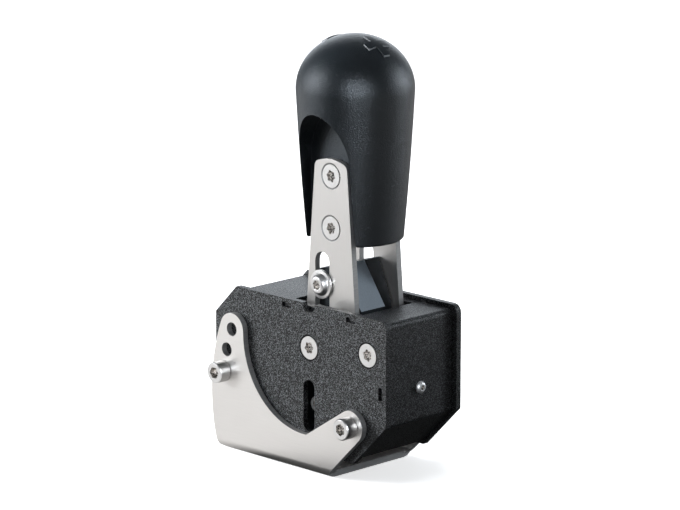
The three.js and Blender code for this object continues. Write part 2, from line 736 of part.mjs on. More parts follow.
function boardSolid() {
  const board = box([boardRearX, boardFrontX], [boardFaceY, boardOuterY],
    [pivotZ - boardBelow, pivotZ + boardAbove]);
  return cut(board, ...[boardScrewRearX, boardScrewFrontX].map((x) =>
    barY(boardScrew.shank + seat, [x, boardScrewZ],
      [boardFaceY - overrun, boardOuterY + overrun], screwSides)));
}

function socketSolid() {
  const xs = [coverRearX, coverRearX + socketLength];
  const ys = [socketFaceY - socketHeight, socketFaceY];
  const zs = [socketZ - socketWidth / 2, socketZ + socketWidth / 2];
  const middle = (ys[0] + ys[1]) / 2;
  const mouth = box([xs[0] - overrun, xs[1] - socketWall * 2],
    [ys[0] + socketWall, ys[1] - socketWall], [zs[0] + socketWall, zs[1] - socketWall]);
  const tongue = box([xs[0] + socketWall, xs[1] - socketWall],
    [middle - socketTongue / 2, middle + socketTongue / 2],
    [zs[0] + socketWall * 2, zs[1] - socketWall * 2]);
  return join(cut(box(xs, ys, zs), mouth), tongue);
}

// The model

// The housing stands still, the lever swings in it, and the grip and the force block slide
// on the lever
const housing = new THREE.Group();
const lever = new THREE.Group();
const grip = new THREE.Group();
const force = new THREE.Group();
lever.position.z = pivotZ;
force.position.z = blockZ - pivotZ;
lever.add(grip, force);

const group = new THREE.Group();
group.add(housing, lever);

function place(body, name, solid, finish, position = [0, 0, 0], turn = [0, 0, 0]) {
  const material = new THREE.MeshStandardMaterial({ ...finishes[finish], flatShading: true });
  const mesh = new THREE.Mesh(geometryOf(solid), material);
  mesh.name = name;
  mesh.position.set(...position);
  mesh.rotation.set(...turn);
  body.add(mesh);
}

// Places a screw whose head faces away from the middle plane
function placeSideScrew(body, name, solid, side, [x, y, z]) {
  place(body, name, solid, 'screwSteel', [x, side * y, z], [0, 0, side > 0 ? halfTurn : 0]);
}

const sideNames = [['near', -1], ['far', 1]];
const endNames = [['rear', -1], ['front', 1]];

function placeHousing() {
  place(housing, 'bracket', bracketSolid(), 'stainless');
  place(housing, 'cover_hood', hoodSolid(), 'powderCoat');
  place(housing, 'cover_base', baseSolid(), 'powderCoat');
  for (const [name, side] of sideNames) {
    place(housing, `side_plate_${name}`, plateSolid(side), 'powderCoat');
  }
  const ties = [
    ['lower_front_tie', tieRadius, [frontBoltX, frontBoltZ]],
    ['rear_tie', rearTieRadius, [rearBoltX, rearBoltZ]],
    ['upper_front_tie', tieRadius, [upperTieX, upperTieZ]],
    ['pivot_shaft', shaftRadius, [0, pivotZ]],
  ];
  for (const [name, radius, at] of ties) {
    place(housing, name,
      tubeY(radius, capScrew.shank + seat, at, [-betweenPlates, betweenPlates]), 'screwSteel');
  }
}

function placeHousingScrews() {
  const cap = capScrewSolid(capScrew);
  const sunk = countersunkScrewSolid(armScrew);
  for (const [name, side] of sideNames) {
    placeSideScrew(housing, `front_bolt_${name}`, cap, side,
      [frontBoltX, bracketOuterY + seat, frontBoltZ]);
    placeSideScrew(housing, `rear_bolt_${name}`, cap, side,
      [rearBoltX, bracketOuterY + seat, rearBoltZ]);
    placeSideScrew(housing, `pivot_screw_${name}`, sunk, side,
      [0, plateOuterY - looksFlush, pivotZ]);
    placeSideScrew(housing, `tie_screw_${name}`, sunk, side,
      [upperTieX, plateOuterY - looksFlush, upperTieZ]);
  }
}

function placeCoverScrew() {
  place(housing, 'cover_screw', roundHeadScrewSolid(coverScrew, buttonShares), 'screwSteel',
    [hoodFrontX + seat, 0, coverScrewZ], [0, 0, quarterTurn]);
  const nutFaceX = hoodFrontX - doubleSheet - coverSheet - seat;
  const nut = cut(hexKey(coverNut.key, [0, coverNut.height]),
    barY(coverScrew.shank + seat, [0, 0], [-overrun, coverNut.height + overrun], screwSides));
  place(housing, 'cover_nut', nut, 'screwSteel', [nutFaceX, 0, coverScrewZ], [0, 0, quarterTurn]);
}

function placeLever() {
  place(lever, 'lever_core', coreSolid(), 'anodised');
  const bore = shaftRadius + seat;
  const clamp = roundHeadScrewSolid(clampScrew, flangeShares);
  for (const [name, side] of sideNames) {
    place(lever, `pivot_bearing_${name}`, tubeY(bearingRadius, bore, [0, 0],
      span(side, [coreHalfWidth - bearingWidth, coreHalfWidth])), 'screwSteel');
    place(housing, `pivot_spacer_${name}`, tubeY(bore + spacerWall, bore, [0, pivotZ],
      span(side, [armInnerY, betweenPlates])), 'blackSteel');
    placeSideScrew(lever, `clamp_screw_${name}`, clamp, side,
      [0, armOuterY + seat, clampHeight]);
  }
}

function placeGrip() {
  place(grip, 'knob', knobSolid(), 'knobPlastic');
  const sunk = countersunkScrewSolid(armScrew);
  const screwY = armOuterY - looksFlush;
  for (const [name, side] of sideNames) {
    place(grip, `lever_arm_${name}`, armSolid(side), 'stainless');
    placeSideScrew(grip, `lower_arm_screw_${name}`, sunk, side,
      [armMiddleX, screwY, lowerArmScrew]);
    placeSideScrew(grip, `upper_arm_screw_${name}`, sunk, side,
      [armMiddleX, screwY, upperArmScrew]);
  }
}

function placeForceBlock() {
  place(force, 'force_block', forceBlockSolid(), 'anodised');
  const screw = capScrewSolid(blockScrew);
  for (const [name, side] of sideNames) {
    placeSideScrew(force, `force_screw_${name}`, screw, side, [0, blockHalfWidth + seat, 0]);
  }
  for (const [name, end] of endNames) {
    place(force, `block_magnet_${name}`, barX(magnetRadius, [0, 0],
      span(end, [blockHalfLength - magnetDepth, blockHalfLength])), 'magnet');
  }
}

function placeCradle() {
  place(housing, 'magnet_cradle', cradleSolid(), 'anodised');
  const sunk = countersunkScrewSolid(cradleScrew);
  const stopBore = magnetRadius + seat;
  const stopBack = postInnerX - seat;
  for (const [name, end] of endNames) {
    place(housing, `cradle_magnet_${name}`, barX(magnetRadius, [0, cradleMagnetZ],
      span(end, [cradleMagnetX - magnetDepth, cradleMagnetX])), 'magnet');
    place(housing, `travel_stop_${name}`, tubeX(stopBore + stopWidth, stopBore,
      [0, cradleMagnetZ], span(end, [stopBack - stopThickness, stopBack])), 'rubber');
    place(housing, `cradle_screw_${name}`, sunk, 'screwSteel',
      [end * cradleScrewX, 0, coverFloorZ + looksFlush], [quarterTurn, 0, 0]);
  }
}

function placeSensor() {
  place(housing, 'sensor_board', boardSolid(), 'boardGreen');
  place(housing, 'usb_socket', socketSolid(), 'screwSteel');
  const chipXs = [-sensorOffset - chipSize / 2, -sensorOffset + chipSize / 2];
  place(housing, 'hall_sensor', box(chipXs, [socketFaceY - chipHeight, socketFaceY],
    [pivotZ - chipSize / 2, pivotZ + chipSize / 2]), 'chipBlack');
  place(lever, 'sensor_magnet', barY(sensorMagnetRadius, [-sensorOffset, 0],
    [coreHalfWidth - sensorMagnetDepth, coreHalfWidth], screwSides), 'magnet');
  const screw = roundHeadScrewSolid(boardScrew, buttonShares);
  for (const [name, x] of [['rear', boardScrewRearX], ['front', boardScrewFrontX]]) {
    place(housing, `board_standoff_${name}`, tubeY(standoffRadius, boardScrew.shank + seat,
      [x, boardScrewZ], [boardOuterY + seat, betweenPlates]), 'screwSteel');
    place(housing, `board_screw_${name}`, screw, 'screwSteel', [x, boardFaceY - seat, boardScrewZ]);
  }
}

placeHousing();
placeHousingScrews();
placeCoverScrew();
placeLever();
placeGrip();
placeForceBlock();
placeCradle();
placeSensor();

export default group;
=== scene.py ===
# %% [markdown]
# A gear shifter for a driving simulator. A tall knob sits on two steel arms, the arms are
# clamped to a lever that pivots between two black side plates, and a folded steel bracket
# holds the housing at an angle that its row of holes sets.
#
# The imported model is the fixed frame. Its solids have every size and place, and this script
# gives them their surfaces: rounded sheet edges, a smooth moulded knob, real screw heads,
# and a finish for each material. +X runs along the plates to the end with the small cover
# screw, +Y along the pivot and +Z up. Blender measures in metres.

import json
import math

import bpy
from mathutils import Matrix, Vector


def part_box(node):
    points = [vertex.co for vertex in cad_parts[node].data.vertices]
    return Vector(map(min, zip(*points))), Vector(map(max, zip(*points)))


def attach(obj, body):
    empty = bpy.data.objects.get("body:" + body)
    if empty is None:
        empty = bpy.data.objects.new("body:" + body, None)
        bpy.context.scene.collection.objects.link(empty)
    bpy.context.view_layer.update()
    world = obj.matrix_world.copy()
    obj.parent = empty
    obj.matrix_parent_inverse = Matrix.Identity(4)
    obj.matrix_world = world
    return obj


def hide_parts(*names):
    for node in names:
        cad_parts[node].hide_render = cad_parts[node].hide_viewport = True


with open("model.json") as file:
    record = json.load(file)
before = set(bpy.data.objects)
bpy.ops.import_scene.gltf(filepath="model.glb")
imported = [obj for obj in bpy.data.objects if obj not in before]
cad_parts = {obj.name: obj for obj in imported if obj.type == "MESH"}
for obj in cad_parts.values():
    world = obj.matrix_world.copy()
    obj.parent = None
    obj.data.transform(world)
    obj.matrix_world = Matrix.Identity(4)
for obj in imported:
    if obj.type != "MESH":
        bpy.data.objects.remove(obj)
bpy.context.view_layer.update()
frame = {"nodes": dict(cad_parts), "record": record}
nodes = frame["nodes"]
bodies = frame["record"]["behaviour"]["bodies"]
body_of = {node: body for body, members in bodies.items() for node in members}

MM = 0.001

# %% [markdown]
# The camera comes first, because every comparison with the photograph needs it. The plates'
# parallel edges, the row of bracket holes and the knob's axis gave the direction, and they
# stay nearly parallel in the picture, so the lens is long and the camera far away. One
# point of the near plate's top edge, above the pivot, ties the frame to the picture.

# %% The photograph's camera
PHOTO_WIDTH, PHOTO_HEIGHT = 680, 510
SENSOR_WIDTH = 36.0
FOCAL_PIXELS = 3700
PIXELS_PER_METRE = 2190
AZIMUTH, ELEVATION = math.radians(45.2), math.radians(13.2)
ANCHOR_PIXEL = (308.8, 303.9)
anchor = Vector((0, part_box("side_plate_near")[0].y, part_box("side_plate_near")[1].z))

back = Vector((math.sin(AZIMUTH) * math.cos(ELEVATION),
               -math.cos(AZIMUTH) * math.cos(ELEVATION), math.sin(ELEVATION)))
right = Vector((math.cos(AZIMUTH), math.sin(AZIMUTH), 0))
up = back.cross(right)
across = (ANCHOR_PIXEL[0] - PHOTO_WIDTH / 2) / PIXELS_PER_METRE
down = (ANCHOR_PIXEL[1] - PHOTO_HEIGHT / 2) / PIXELS_PER_METRE

camera = bpy.data.objects.new("camera", bpy.data.cameras.new("camera"))
bpy.context.scene.collection.objects.link(camera)
camera.data.sensor_width = SENSOR_WIDTH
camera.data.lens = FOCAL_PIXELS / PHOTO_WIDTH * SENSOR_WIDTH
camera.rotation_mode = "QUATERNION"
camera.rotation_quaternion = (-back).to_track_quat("-Z", "Y")
camera.location = anchor - right * across + up * down + back * FOCAL_PIXELS / PIXELS_PER_METRE
bpy.context.scene.camera = camera
print("camera", [round(v, 4) for v in camera.location], "lens", round(camera.data.lens, 1))

# %% [markdown]
# A material is a tree of nodes, and most of it is arithmetic. The small class below wraps
# one output of a node, and its plus, minus and times add a Math node, so that shader maths
# reads as Python does. A tree has one method that adds any other node, and a finish is the
# tree of one Principled material.

# %% Shader maths as Python
class Value:
    """One output of a node, with the arithmetic that adds Math nodes."""

    def __init__(self, tree, socket):
        self.tree = tree
        self.socket = socket

    def maths(self, operation, first, second):
        return self.tree.node("ShaderNodeMath", {"operation": operation}, {0: first, 1: second})

    def __add__(self, other):
        return self.maths("ADD", self, other)

    def __sub__(self, other):
        return self.maths("SUBTRACT", self, other)

    def __rsub__(self, other):
        return self.maths("SUBTRACT", other, self)

    def __mul__(self, other):
        return self.maths("MULTIPLY", self, other)

    __radd__ = __add__
    __rmul__ = __mul__


class Tree:
    """The nodes of a material or of the world."""

    def __init__(self, owner):
        owner.use_nodes = True
        self.nodes = owner.node_tree.nodes
        self.links = owner.node_tree.links

    def feed(self, socket, value):
        if isinstance(value, Value):
            self.links.new(value.socket, socket)
        else:
            socket.default_value = value

    def node(self, kind, settings, values, output=0):
        made = self.nodes.new(kind)
        for key, value in settings.items():
            setattr(made, key, value)
        for key, value in values.items():
            self.feed(made.inputs[key], value)
        return Value(self, made.outputs[output])

    def steps(self, value, low, high, first=0.0, last=1.0):
        """The value drawn out so that low becomes first and high becomes last."""
        values = {"Value": value, "From Min": low, "From Max": high,
                  "To Min": first, "To Max": last}
        return self.node("ShaderNodeMapRange", {"clamp": True}, values)

    def mix(self, share, first, second):
        """Two colours mixed by a share from 0 to 1."""
        settings = {"data_type": "RGBA"}
        return self.node("ShaderNodeMix", settings, {0: share, 6: first, 7: second}, 2)

    def ray(self, kind):
        return self.node("ShaderNodeLightPath", {}, {}, "Is " + kind + " Ray")


class Finish(Tree):
    """A Principled material. Plain numbers go on its own sockets, patterns through set."""

    def __init__(self, name, **plain):
        self.material = bpy.data.materials.new(name)
        super().__init__(self.material)
        self.surface = self.nodes["Principled BSDF"]
        for label, value in plain.items():
            self.surface.inputs[label.replace("_", " ")].default_value = value

    def set(self, label, value):
        self.feed(self.surface.inputs[label], value)

    def place(self, stretch=(1, 1, 1)):
        """The object's own coordinates, in metres, stretched for a pattern with a grain."""
        point = self.node("ShaderNodeTexCoord", {}, {}, "Object")
        return self.node("ShaderNodeMapping", {}, {"Vector": point, "Scale": stretch})

    def noise(self, size, detail=2, stretch=(1, 1, 1), rough=0.5):
        """Noise from 0 to 1, whose grains are about that size in metres."""
        values = {"Vector": self.place(stretch), "Scale": 1 / size, "Detail": detail,
                  "Roughness": rough}
        return self.node("ShaderNodeTexNoise", {}, values)

    def bump(self, height, depth):
        """A bump from a height between 0 and 1, whose relief is that deep in metres."""
        self.set("Normal", self.node("ShaderNodeBump", {}, {"Height": height, "Distance": depth}))


def grey(level, warmth=0.0):
    """A grey as red, green, blue and alpha, a little warm or cold."""
    return (level * (1 + warmth), level, level * (1 - warmth), 1)


# %% [markdown]
# The plates and covers are powder coated: the paint is dusted on as powder and melted, and
# it keeps a fine pebbled skin. From close by, each pebble catches a spark of light, and that
# spark is a painted highlight: the pebble tops get a lighter colour, while the paint between
# them is nearly black. One fine noise makes both, and it also lifts the pebbles, so that a
# pebble that stands higher is also the one painted light. A larger faint noise varies the
# gloss of the coat.

# %% Powder coat
PEBBLE_SIZE, PEBBLE_RELIEF = 0.42 * MM, 0.2 * MM
GLINT_START, GLINT_FULL = 0.54, 0.60
CLOUD_SIZE = 30 * MM
PAINT, PAINTED_GLINT = grey(0.001, -0.05), grey(0.13, -0.05)


def powder_coat():
    finish = Finish("powder_coat", Specular_IOR_Level=0.3)
    pebbles = finish.noise(PEBBLE_SIZE, detail=1, rough=0.5)
    # The pebble tops are painted lighter: a painted highlight, the spark of light that each
    # catches.
    painted_glints = finish.steps(pebbles, GLINT_START, GLINT_FULL)
    cloud = finish.noise(CLOUD_SIZE)
    finish.set("Base Color", finish.mix(painted_glints, PAINT, PAINTED_GLINT))
    finish.set("Roughness", 0.40 + 0.08 * cloud - 0.08 * painted_glints)
    finish.bump(pebbles, PEBBLE_RELIEF)
    return finish.material


coat = powder_coat()
print("made", coat.name)

# %% [markdown]
# The bracket and the two arms are cut from stainless sheet and finished satin: bright, with
# hair-fine scratches that all run one way. Noise stretched fifty times along one axis gives
# the scratches. They change the roughness more than the height, as on the real sheet, where
# they are too fine to see one by one. A wide noise adds the faint smudges of handling.

# %% Satin stainless sheet
def satin_steel(name, grain, level):
    finish = Finish(name, Metallic=1.0)
    scratches = finish.noise(0.25 * MM, detail=3, stretch=grain, rough=0.7)
    smudges = finish.noise(22 * MM)
    finish.set("Base Color", finish.mix(scratches, grey(level * 0.94, 0.034),
                                         grey(level * 1.06, 0.034)))
    finish.set("Roughness", 0.34 + 0.10 * scratches + 0.05 * smudges)
    finish.bump(scratches, 0.004 * MM)
    return finish.material


ALONG_X = (0.02, 1, 1)
ALONG_Z = (1, 1, 0.02)
bracket_steel = satin_steel("satin_steel_bracket", ALONG_X, 0.74)
arm_steel = satin_steel("satin_steel_arms", ALONG_Z, 0.59)
print("made", bracket_steel.name, arm_steel.name)

# %% [markdown]
# Where a laser cut the sheet, its edge is greyer and duller than its face, with fine ribs
# straight through the thickness. That edge gets a finish of its own, so that the outline of
# the bracket and the arms reads as a cut sheet and not as a casting. Its grey is set darker
# still, as painted shade for hole walls and cut edges that lie in shade.

# %% Laser-cut edge
def cut_edge():
    finish = Finish("laser_cut_edge_and_shade", Metallic=0.75)
    ribs = finish.noise(0.35 * MM, detail=2, stretch=(1, 0.06, 1))
    # The darker end of this grey is partly painted shade, for cut walls that lie in shade.
    finish.set("Base Color", finish.mix(ribs, grey(0.26, 0.01), grey(0.48, 0.01)))
    finish.set("Roughness", 0.50 + 0.2 * ribs)
    finish.bump(ribs, 0.03 * MM)
    return finish.material


edge_steel_and_shade = cut_edge()
print("made", edge_steel_and_shade.name)

# %% [markdown]
# The screws are pressed from stainless wire and tumbled bright. They mirror the studio more
# sharply than the sheet, with small scuffs from handling. The hollow for the key keeps the
# marks of the punch, and its colour is painted in patches from nearly black to nearly white:
# painted shade for the dark inside of the hollow, with painted glints on it. The round side
# of a cap screw is painted darker than its face: painted shade for the shade that its ridges
# cast on each other.

# %% Bright screw steel and the hollow of its key
def screw_steel(name="bright_screw_steel", low=0.66, high=0.80):
    finish = Finish(name, Metallic=1.0)
    scuffs = finish.noise(1.2 * MM, detail=4, rough=0.7)
    finish.set("Base Color", finish.mix(scuffs, grey(low, 0.015), grey(high, 0.015)))
    finish.set("Roughness", 0.30 + 0.12 * finish.steps(scuffs, 0.4, 0.75))
    finish.bump(scuffs, 0.008 * MM)
    return finish.material


def key_hollow_shade_and_glints():
    finish = Finish("key_hollow_shade_and_glints", Metallic=1.0)
    # The patches are painted shade inside the hollow, with painted glints among them.
    punch = finish.steps(finish.noise(0.7 * MM, detail=2), 0.42, 0.58)
    finish.set("Base Color", finish.mix(punch, grey(0.10, 0.06), grey(0.85, 0.06)))
    finish.set("Roughness", 0.30 + 0.2 * punch)
    finish.bump(punch, 0.05 * MM)
    return finish.material


bright_steel = screw_steel()
knurl_side_shade = screw_steel("knurled_side_painted_shade", 0.30, 0.50)
hollow_shade_and_glints = key_hollow_shade_and_glints()
print("made", bright_steel.name, knurl_side_shade.name, hollow_shade_and_glints.name)

# %% [markdown]
# The knob is moulded in black plastic, from a mould with a fine matt texture. Its
# highlights are broad and soft, and up close they break into grains. A small noise lifts
# the skin by up to two tenths of a millimetre, and a wide one varies the gloss where hands
# have been. Its sheen is tinted a little blue, to match the picture. The raised marks on its
# top are smooth, and their sides are painted pale grey: a painted highlight for the light
# that their sharp edges catch.

# %% Moulded knob plastic
COLD_SHEEN = (0.88, 0.94, 1.0, 1.0)


def knob_plastic(name, level, warmth, rough, grain_depth):
    finish = Finish(name, Specular_IOR_Level=0.52, Specular_Tint=COLD_SHEEN)
    grain = finish.noise(0.6 * MM, detail=3, rough=0.6)
    touch = finish.noise(18 * MM)
    finish.set("Base Color", finish.mix(grain, grey(level * 0.8, warmth),
                                         grey(level * 1.2, warmth)))
    finish.set("Roughness", rough + 0.10 * touch - 0.06 * grain)
    finish.bump(grain, grain_depth)
    return finish.material


plastic = knob_plastic("knob_plastic", 0.013, -0.24, 0.30, 0.2 * MM)
mark_face = knob_plastic("mark_face", 0.016, -0.22, 0.30, 0.02 * MM)
painted_mark_highlight = knob_plastic("painted_mark_highlight", 0.28, -0.05, 0.40, 0.02 * MM)
print("made", plastic.name, mark_face.name, painted_mark_highlight.name)

# %% [markdown]
# The lever core, the force block and the cradle are milled aluminium with a black anodised
# skin, and the cutter leaves faint lines under it. In the photograph the core's long front
# slope looks slate blue where the light falls on it, while its other faces look black, so
# that slope alone is painted a much lighter colour: painted light. It is fitted to the
# picture: the real piece has one skin all over.

# %% Black anodised aluminium
SLATE_COLD = -0.14


def anodised(name, level):
    finish = Finish(name, Specular_IOR_Level=0.12)
    milling = finish.noise(0.4 * MM, detail=2, stretch=(1, 1, 0.06), rough=0.6)
    finish.set("Base Color", finish.mix(milling, grey(level * 0.8, SLATE_COLD),
                                         grey(level * 1.2, SLATE_COLD)))
    finish.set("Roughness", 0.42 + 0.14 * milling)
    finish.bump(milling, 0.012 * MM)
    return finish.material


painted_lit_slope = anodised("painted_lit_slope", 0.5)
black_anodised = anodised("black_anodised", 0.03)
print("made", painted_lit_slope.name, black_anodised.name)

# %% [markdown]
# The small inner pieces have finishes of their own: blackened steel spacers, nickel-plated
# magnets, ground bearing rings, rubber stops, a green circuit board whose copper shows
# through as lighter tracks, and black chips. Two more are fitted to the picture: a duller,
# whiter colour for three screws that looked too dark, which is a painted glint, and a deep
# black for the countersunk cones in the side plates, which is a painted shadow of the gap
# round each screw.

# %% Finishes of the inner pieces
def plain_metal(name, level, rough, metallic=1.0):
    finish = Finish(name, Metallic=metallic)
    marks = finish.noise(0.8 * MM, detail=3)
    finish.set("Base Color", finish.mix(marks, grey(level * 0.85), grey(level * 1.15)))
    finish.set("Roughness", rough + 0.15 * marks)
    finish.bump(marks, 0.01 * MM)
    return finish.material


def soft_black(name, level, rough, size):
    finish = Finish(name, Specular_IOR_Level=0.4)
    grain = finish.noise(size, detail=3)
    finish.set("Base Color", finish.mix(grain, grey(level * 0.8), grey(level * 1.3)))
    finish.set("Roughness", rough + 0.1 * grain)
    finish.bump(grain, 0.03 * MM)
    return finish.material


TRACKS_SCALE = 260.0
MASK_GREEN, TRACK_GREEN = (0.010, 0.075, 0.040, 1), (0.020, 0.130, 0.060, 1)


def board_green():
    finish = Finish("green_solder_mask")
    tracks = finish.node("ShaderNodeTexWave", {"bands_direction": "Z"},
                         {"Vector": finish.place(), "Scale": TRACKS_SCALE})
    copper = finish.steps(tracks, 0.72, 0.78)
    finish.set("Base Color", finish.mix(copper, MASK_GREEN, TRACK_GREEN))
    finish.set("Roughness", 0.34 + 0.1 * finish.noise(3 * MM))
    finish.bump(copper, 0.03 * MM)
    return finish.material


black_steel = plain_metal("black_steel", 0.06, 0.35, 0.8)
bearing_steel = plain_metal("bearing_steel", 0.5, 0.18)
nickel = plain_metal("nickel_plate", 0.62, 0.14)
tin_solder = plain_metal("tin_solder", 0.7, 0.3)
painted_glint_metal = plain_metal("painted_glint_metal", 0.85, 0.38, 0.6)
stop_rubber = soft_black("stop_rubber", 0.012, 0.75, 0.7 * MM)
chip_plastic = soft_black("chip_plastic", 0.014, 0.5, 0.3 * MM)
painted_gap_shadow = soft_black("painted_gap_shadow", 0.002, 0.8, 0.4 * MM)
solder_mask = board_green()
FINISH_OF_SLOT = {
    "powder_coat": coat, "brushed_stainless": bracket_steel, "screw_steel": bright_steel,
    "black_steel": black_steel, "black_anodised": black_anodised, "knob_plastic": plastic,
    "magnet_nickel": nickel, "stop_rubber": stop_rubber, "circuit_board": solder_mask,
    "chip_plastic": chip_plastic,
}
print("made", len(bpy.data.materials), "materials")

# %% [markdown]
# Every operator works on all that is selected, so each step starts by selecting one piece
# and nothing else. Faces are picked in code by their middle and normal. A finished piece
# rides on the body of the solid that it stands for, and hides that solid.

# %% Selecting, dressing and placing a piece
def edit_done():
    bpy.ops.object.mode_set(mode="OBJECT")


def only(piece):
    if bpy.context.mode != "OBJECT":
        edit_done()
    bpy.ops.object.select_all(action="DESELECT")
    piece.select_set(True)
    bpy.context.view_layer.objects.active = piece


def edit(piece, select="SELECT"):
    only(piece)
    bpy.ops.object.mode_set(mode="EDIT")
    bpy.ops.mesh.select_mode(type="VERT")
    bpy.ops.mesh.select_all(action=select)


def pick_corners(piece, wanted):
    """Selects the corners that wanted picks, and leaves edit mode on."""
    edit(piece, "DESELECT")
    edit_done()
    for corner in piece.data.vertices:
        corner.select = wanted(corner)
    bpy.ops.object.mode_set(mode="EDIT")


def apply_modifier(piece, kind, **settings):
    only(piece)
    modifier = piece.modifiers.new(kind.lower(), kind)
    for key, value in settings.items():
        setattr(modifier, key, value)
    bpy.ops.object.modifier_apply(modifier=modifier.name)


def smooth(piece, degrees=35):
    """Smooth shading, with flat faces kept flat and edges over that angle kept sharp."""
    only(piece)
    bpy.ops.object.shade_smooth_by_angle(angle=math.radians(degrees))
    apply_modifier(piece, "WEIGHTED_NORMAL", keep_sharp=True)


def round_edges(piece, width, degrees=30, segments=2):
    apply_modifier(piece, "BEVEL", width=width, segments=segments, limit_method="ANGLE",
                   angle_limit=math.radians(degrees))
    smooth(piece)


slot_of = {part["node"]: part["material_slot"] for part in frame["record"]["subparts"]}
dressed = set()


def stand_for(piece, node, material=None):
    """Puts the piece on the node's body in the node's stead. Its finish is the one given, else its
    own, else the slot's.
    """
    if material or not piece.data.materials:
        piece.data.materials.clear()
        piece.data.materials.append(material or FINISH_OF_SLOT[slot_of[node]])
    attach(piece, body_of[node])
    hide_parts(node)
    dressed.add(node)


def second_finish(piece, material, wanted):
    """Gives the faces that wanted picks the second material."""
    piece.data.materials.append(material)
    for face in piece.data.polygons:
        if wanted(face):
            face.material_index = len(piece.data.materials) - 1


# %% [markdown]
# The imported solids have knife-sharp edges, and a real sheet has none: its edges are broken
# by a few tenths of a millimetre, and that narrow band is what catches the light along
# every outline. Each sheet is therefore a welded copy of its solid, with its flat triangles
# dissolved into whole faces. A bevel goes only on edges sharper than 30 degrees, so that
# the bends and the round holes stay smooth.

# %% A welded copy of a solid
WELD = 0.002 * MM


def welded_copy(node, name):
    piece = bpy.data.objects.new(name, nodes[node].data.copy())
    bpy.context.scene.collection.objects.link(piece)
    piece.data.materials.clear()
    edit(piece)
    bpy.ops.mesh.customdata_custom_splitnormals_clear()
    bpy.ops.mesh.remove_doubles(threshold=WELD)
    bpy.ops.mesh.dissolve_limited(angle_limit=math.radians(0.5))
    edit_done()
    return piece


# %% Plates, covers, bracket and arms
SHEET_EDGES = {
    "side_plate_near": 0.35 * MM, "side_plate_far": 0.35 * MM, "cover_hood": 0.18 * MM,
    "cover_base": 0.18 * MM, "bracket": 0.2 * MM, "lever_arm_near": 0.15 * MM,
    "lever_arm_far": 0.15 * MM,
}
sheets = {}
for node, edge in SHEET_EDGES.items():
    sheets[node] = welded_copy(node, node + "_sheet")
    round_edges(sheets[node], edge)
    stand_for(sheets[node], node, arm_steel if node.startswith("lever_arm") else None)
    print(node, "faces", len(sheets[node].data.polygons))

# %% [markdown]
# On the arms every face that doesn't look along Y is a cut edge, and so are the cones of
# the countersunk holes, which draw a thin dark ring round each screw: a painted shadow of the
# gap. In the side plates the cones lean by 45 degrees, which picks them out, and their deep
# black is a painted shadow of the gap too. On the bracket the bend also looks elsewhere, and
# it is a face: the cut edges there are those of the upright sides above the bend, and the
# floor's two ends, which look along X.

# %% Cut edges of the steel sheets
ACROSS, OFF_FLAT = 0.3, 0.85
CONE_LOW, CONE_HIGH = 0.55, 0.84
BEND_HEIGHT = 5.5 * MM
bend_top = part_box("bracket")[0].z + BEND_HEIGHT
plate_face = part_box("side_plate_far")[1].y


def cut_on_bracket(face):
    upright = abs(face.center.y) > plate_face and face.center.z > bend_top
    return abs(face.normal.y) < ACROSS and (upright or abs(face.normal.x) > 1 - ACROSS)


def countersink(face):
    return CONE_LOW < abs(face.normal.y) < CONE_HIGH


second_finish(sheets["bracket"], edge_steel_and_shade, cut_on_bracket)
# The countersunk cones in the side plates are painted deep black: a painted shadow of the gap
# round each screw.
for node in ("side_plate_near", "side_plate_far"):
    second_finish(sheets[node], painted_gap_shadow, countersink)
# On the arms the cut-edge grey on the countersunk cones draws a thin dark ring: a painted shadow
# of the gap.
for node in ("lever_arm_near", "lever_arm_far"):
    second_finish(sheets[node], edge_steel_and_shade, lambda face: abs(face.normal.y) < OFF_FLAT)
for node in ("bracket", "side_plate_near", "lever_arm_near"):
    marked = sum(face.material_index for face in sheets[node].data.polygons)
    print(node, "faces with the second finish", marked)

# %% [markdown]
# Round pieces are made the way a lathe makes them. One point is pushed from corner to
# corner to draw half of the outline, and spin turns that line once round the Z axis. Where
# the line starts or ends on the axis, all its copies meet there, and merging them closes
# the pole.

# %% Draw an outline and spin it
FULL_TURN = 2 * math.pi


def spun(name, outline, steps):
    """outline is a list of radius and height. The piece is closed and faces outward."""
    bpy.ops.object.select_all(action="DESELECT")
    bpy.ops.mesh.primitive_plane_add(size=MM)
    piece = bpy.context.object
    piece.name = piece.data.name = name
    edit(piece)
    bpy.ops.mesh.merge(type="CENTER")
    bpy.ops.transform.translate(value=(outline[0][0], 0, outline[0][1]))
    for before, after in zip(outline, outline[1:]):
        move = (after[0] - before[0], 0, after[1] - before[1])
        bpy.ops.mesh.extrude_vertices_move(TRANSFORM_OT_translate={"value": move})
    bpy.ops.mesh.select_all(action="SELECT")
    bpy.ops.mesh.spin(steps=steps, angle=FULL_TURN, center=(0, 0, 0), axis=(0, 0, 1))
    tidy_shell()
    return piece


def tidy_shell():
    """Merges doubles, closes what is open and turns all faces outward."""
    bpy.ops.mesh.select_all(action="SELECT")
    bpy.ops.mesh.remove_doubles(threshold=WELD)
    bpy.ops.mesh.fill_holes(sides=0)
    bpy.ops.mesh.select_all(action="SELECT")
    bpy.ops.mesh.normals_make_consistent(inside=False)
    edit_done()


def cut_out(piece, tool):
    apply_modifier(piece, "BOOLEAN", operation="DIFFERENCE", object=tool, solver="EXACT")
    bpy.data.objects.remove(tool)


# %% [markdown]
# The knob is one turned bulb: a flank that widens with a faint swell, and a dome on top. Its
# place and height come from its solid's box. The solid has a few dozen flat sides, and this
# one has enough to mirror a lamp without a break.

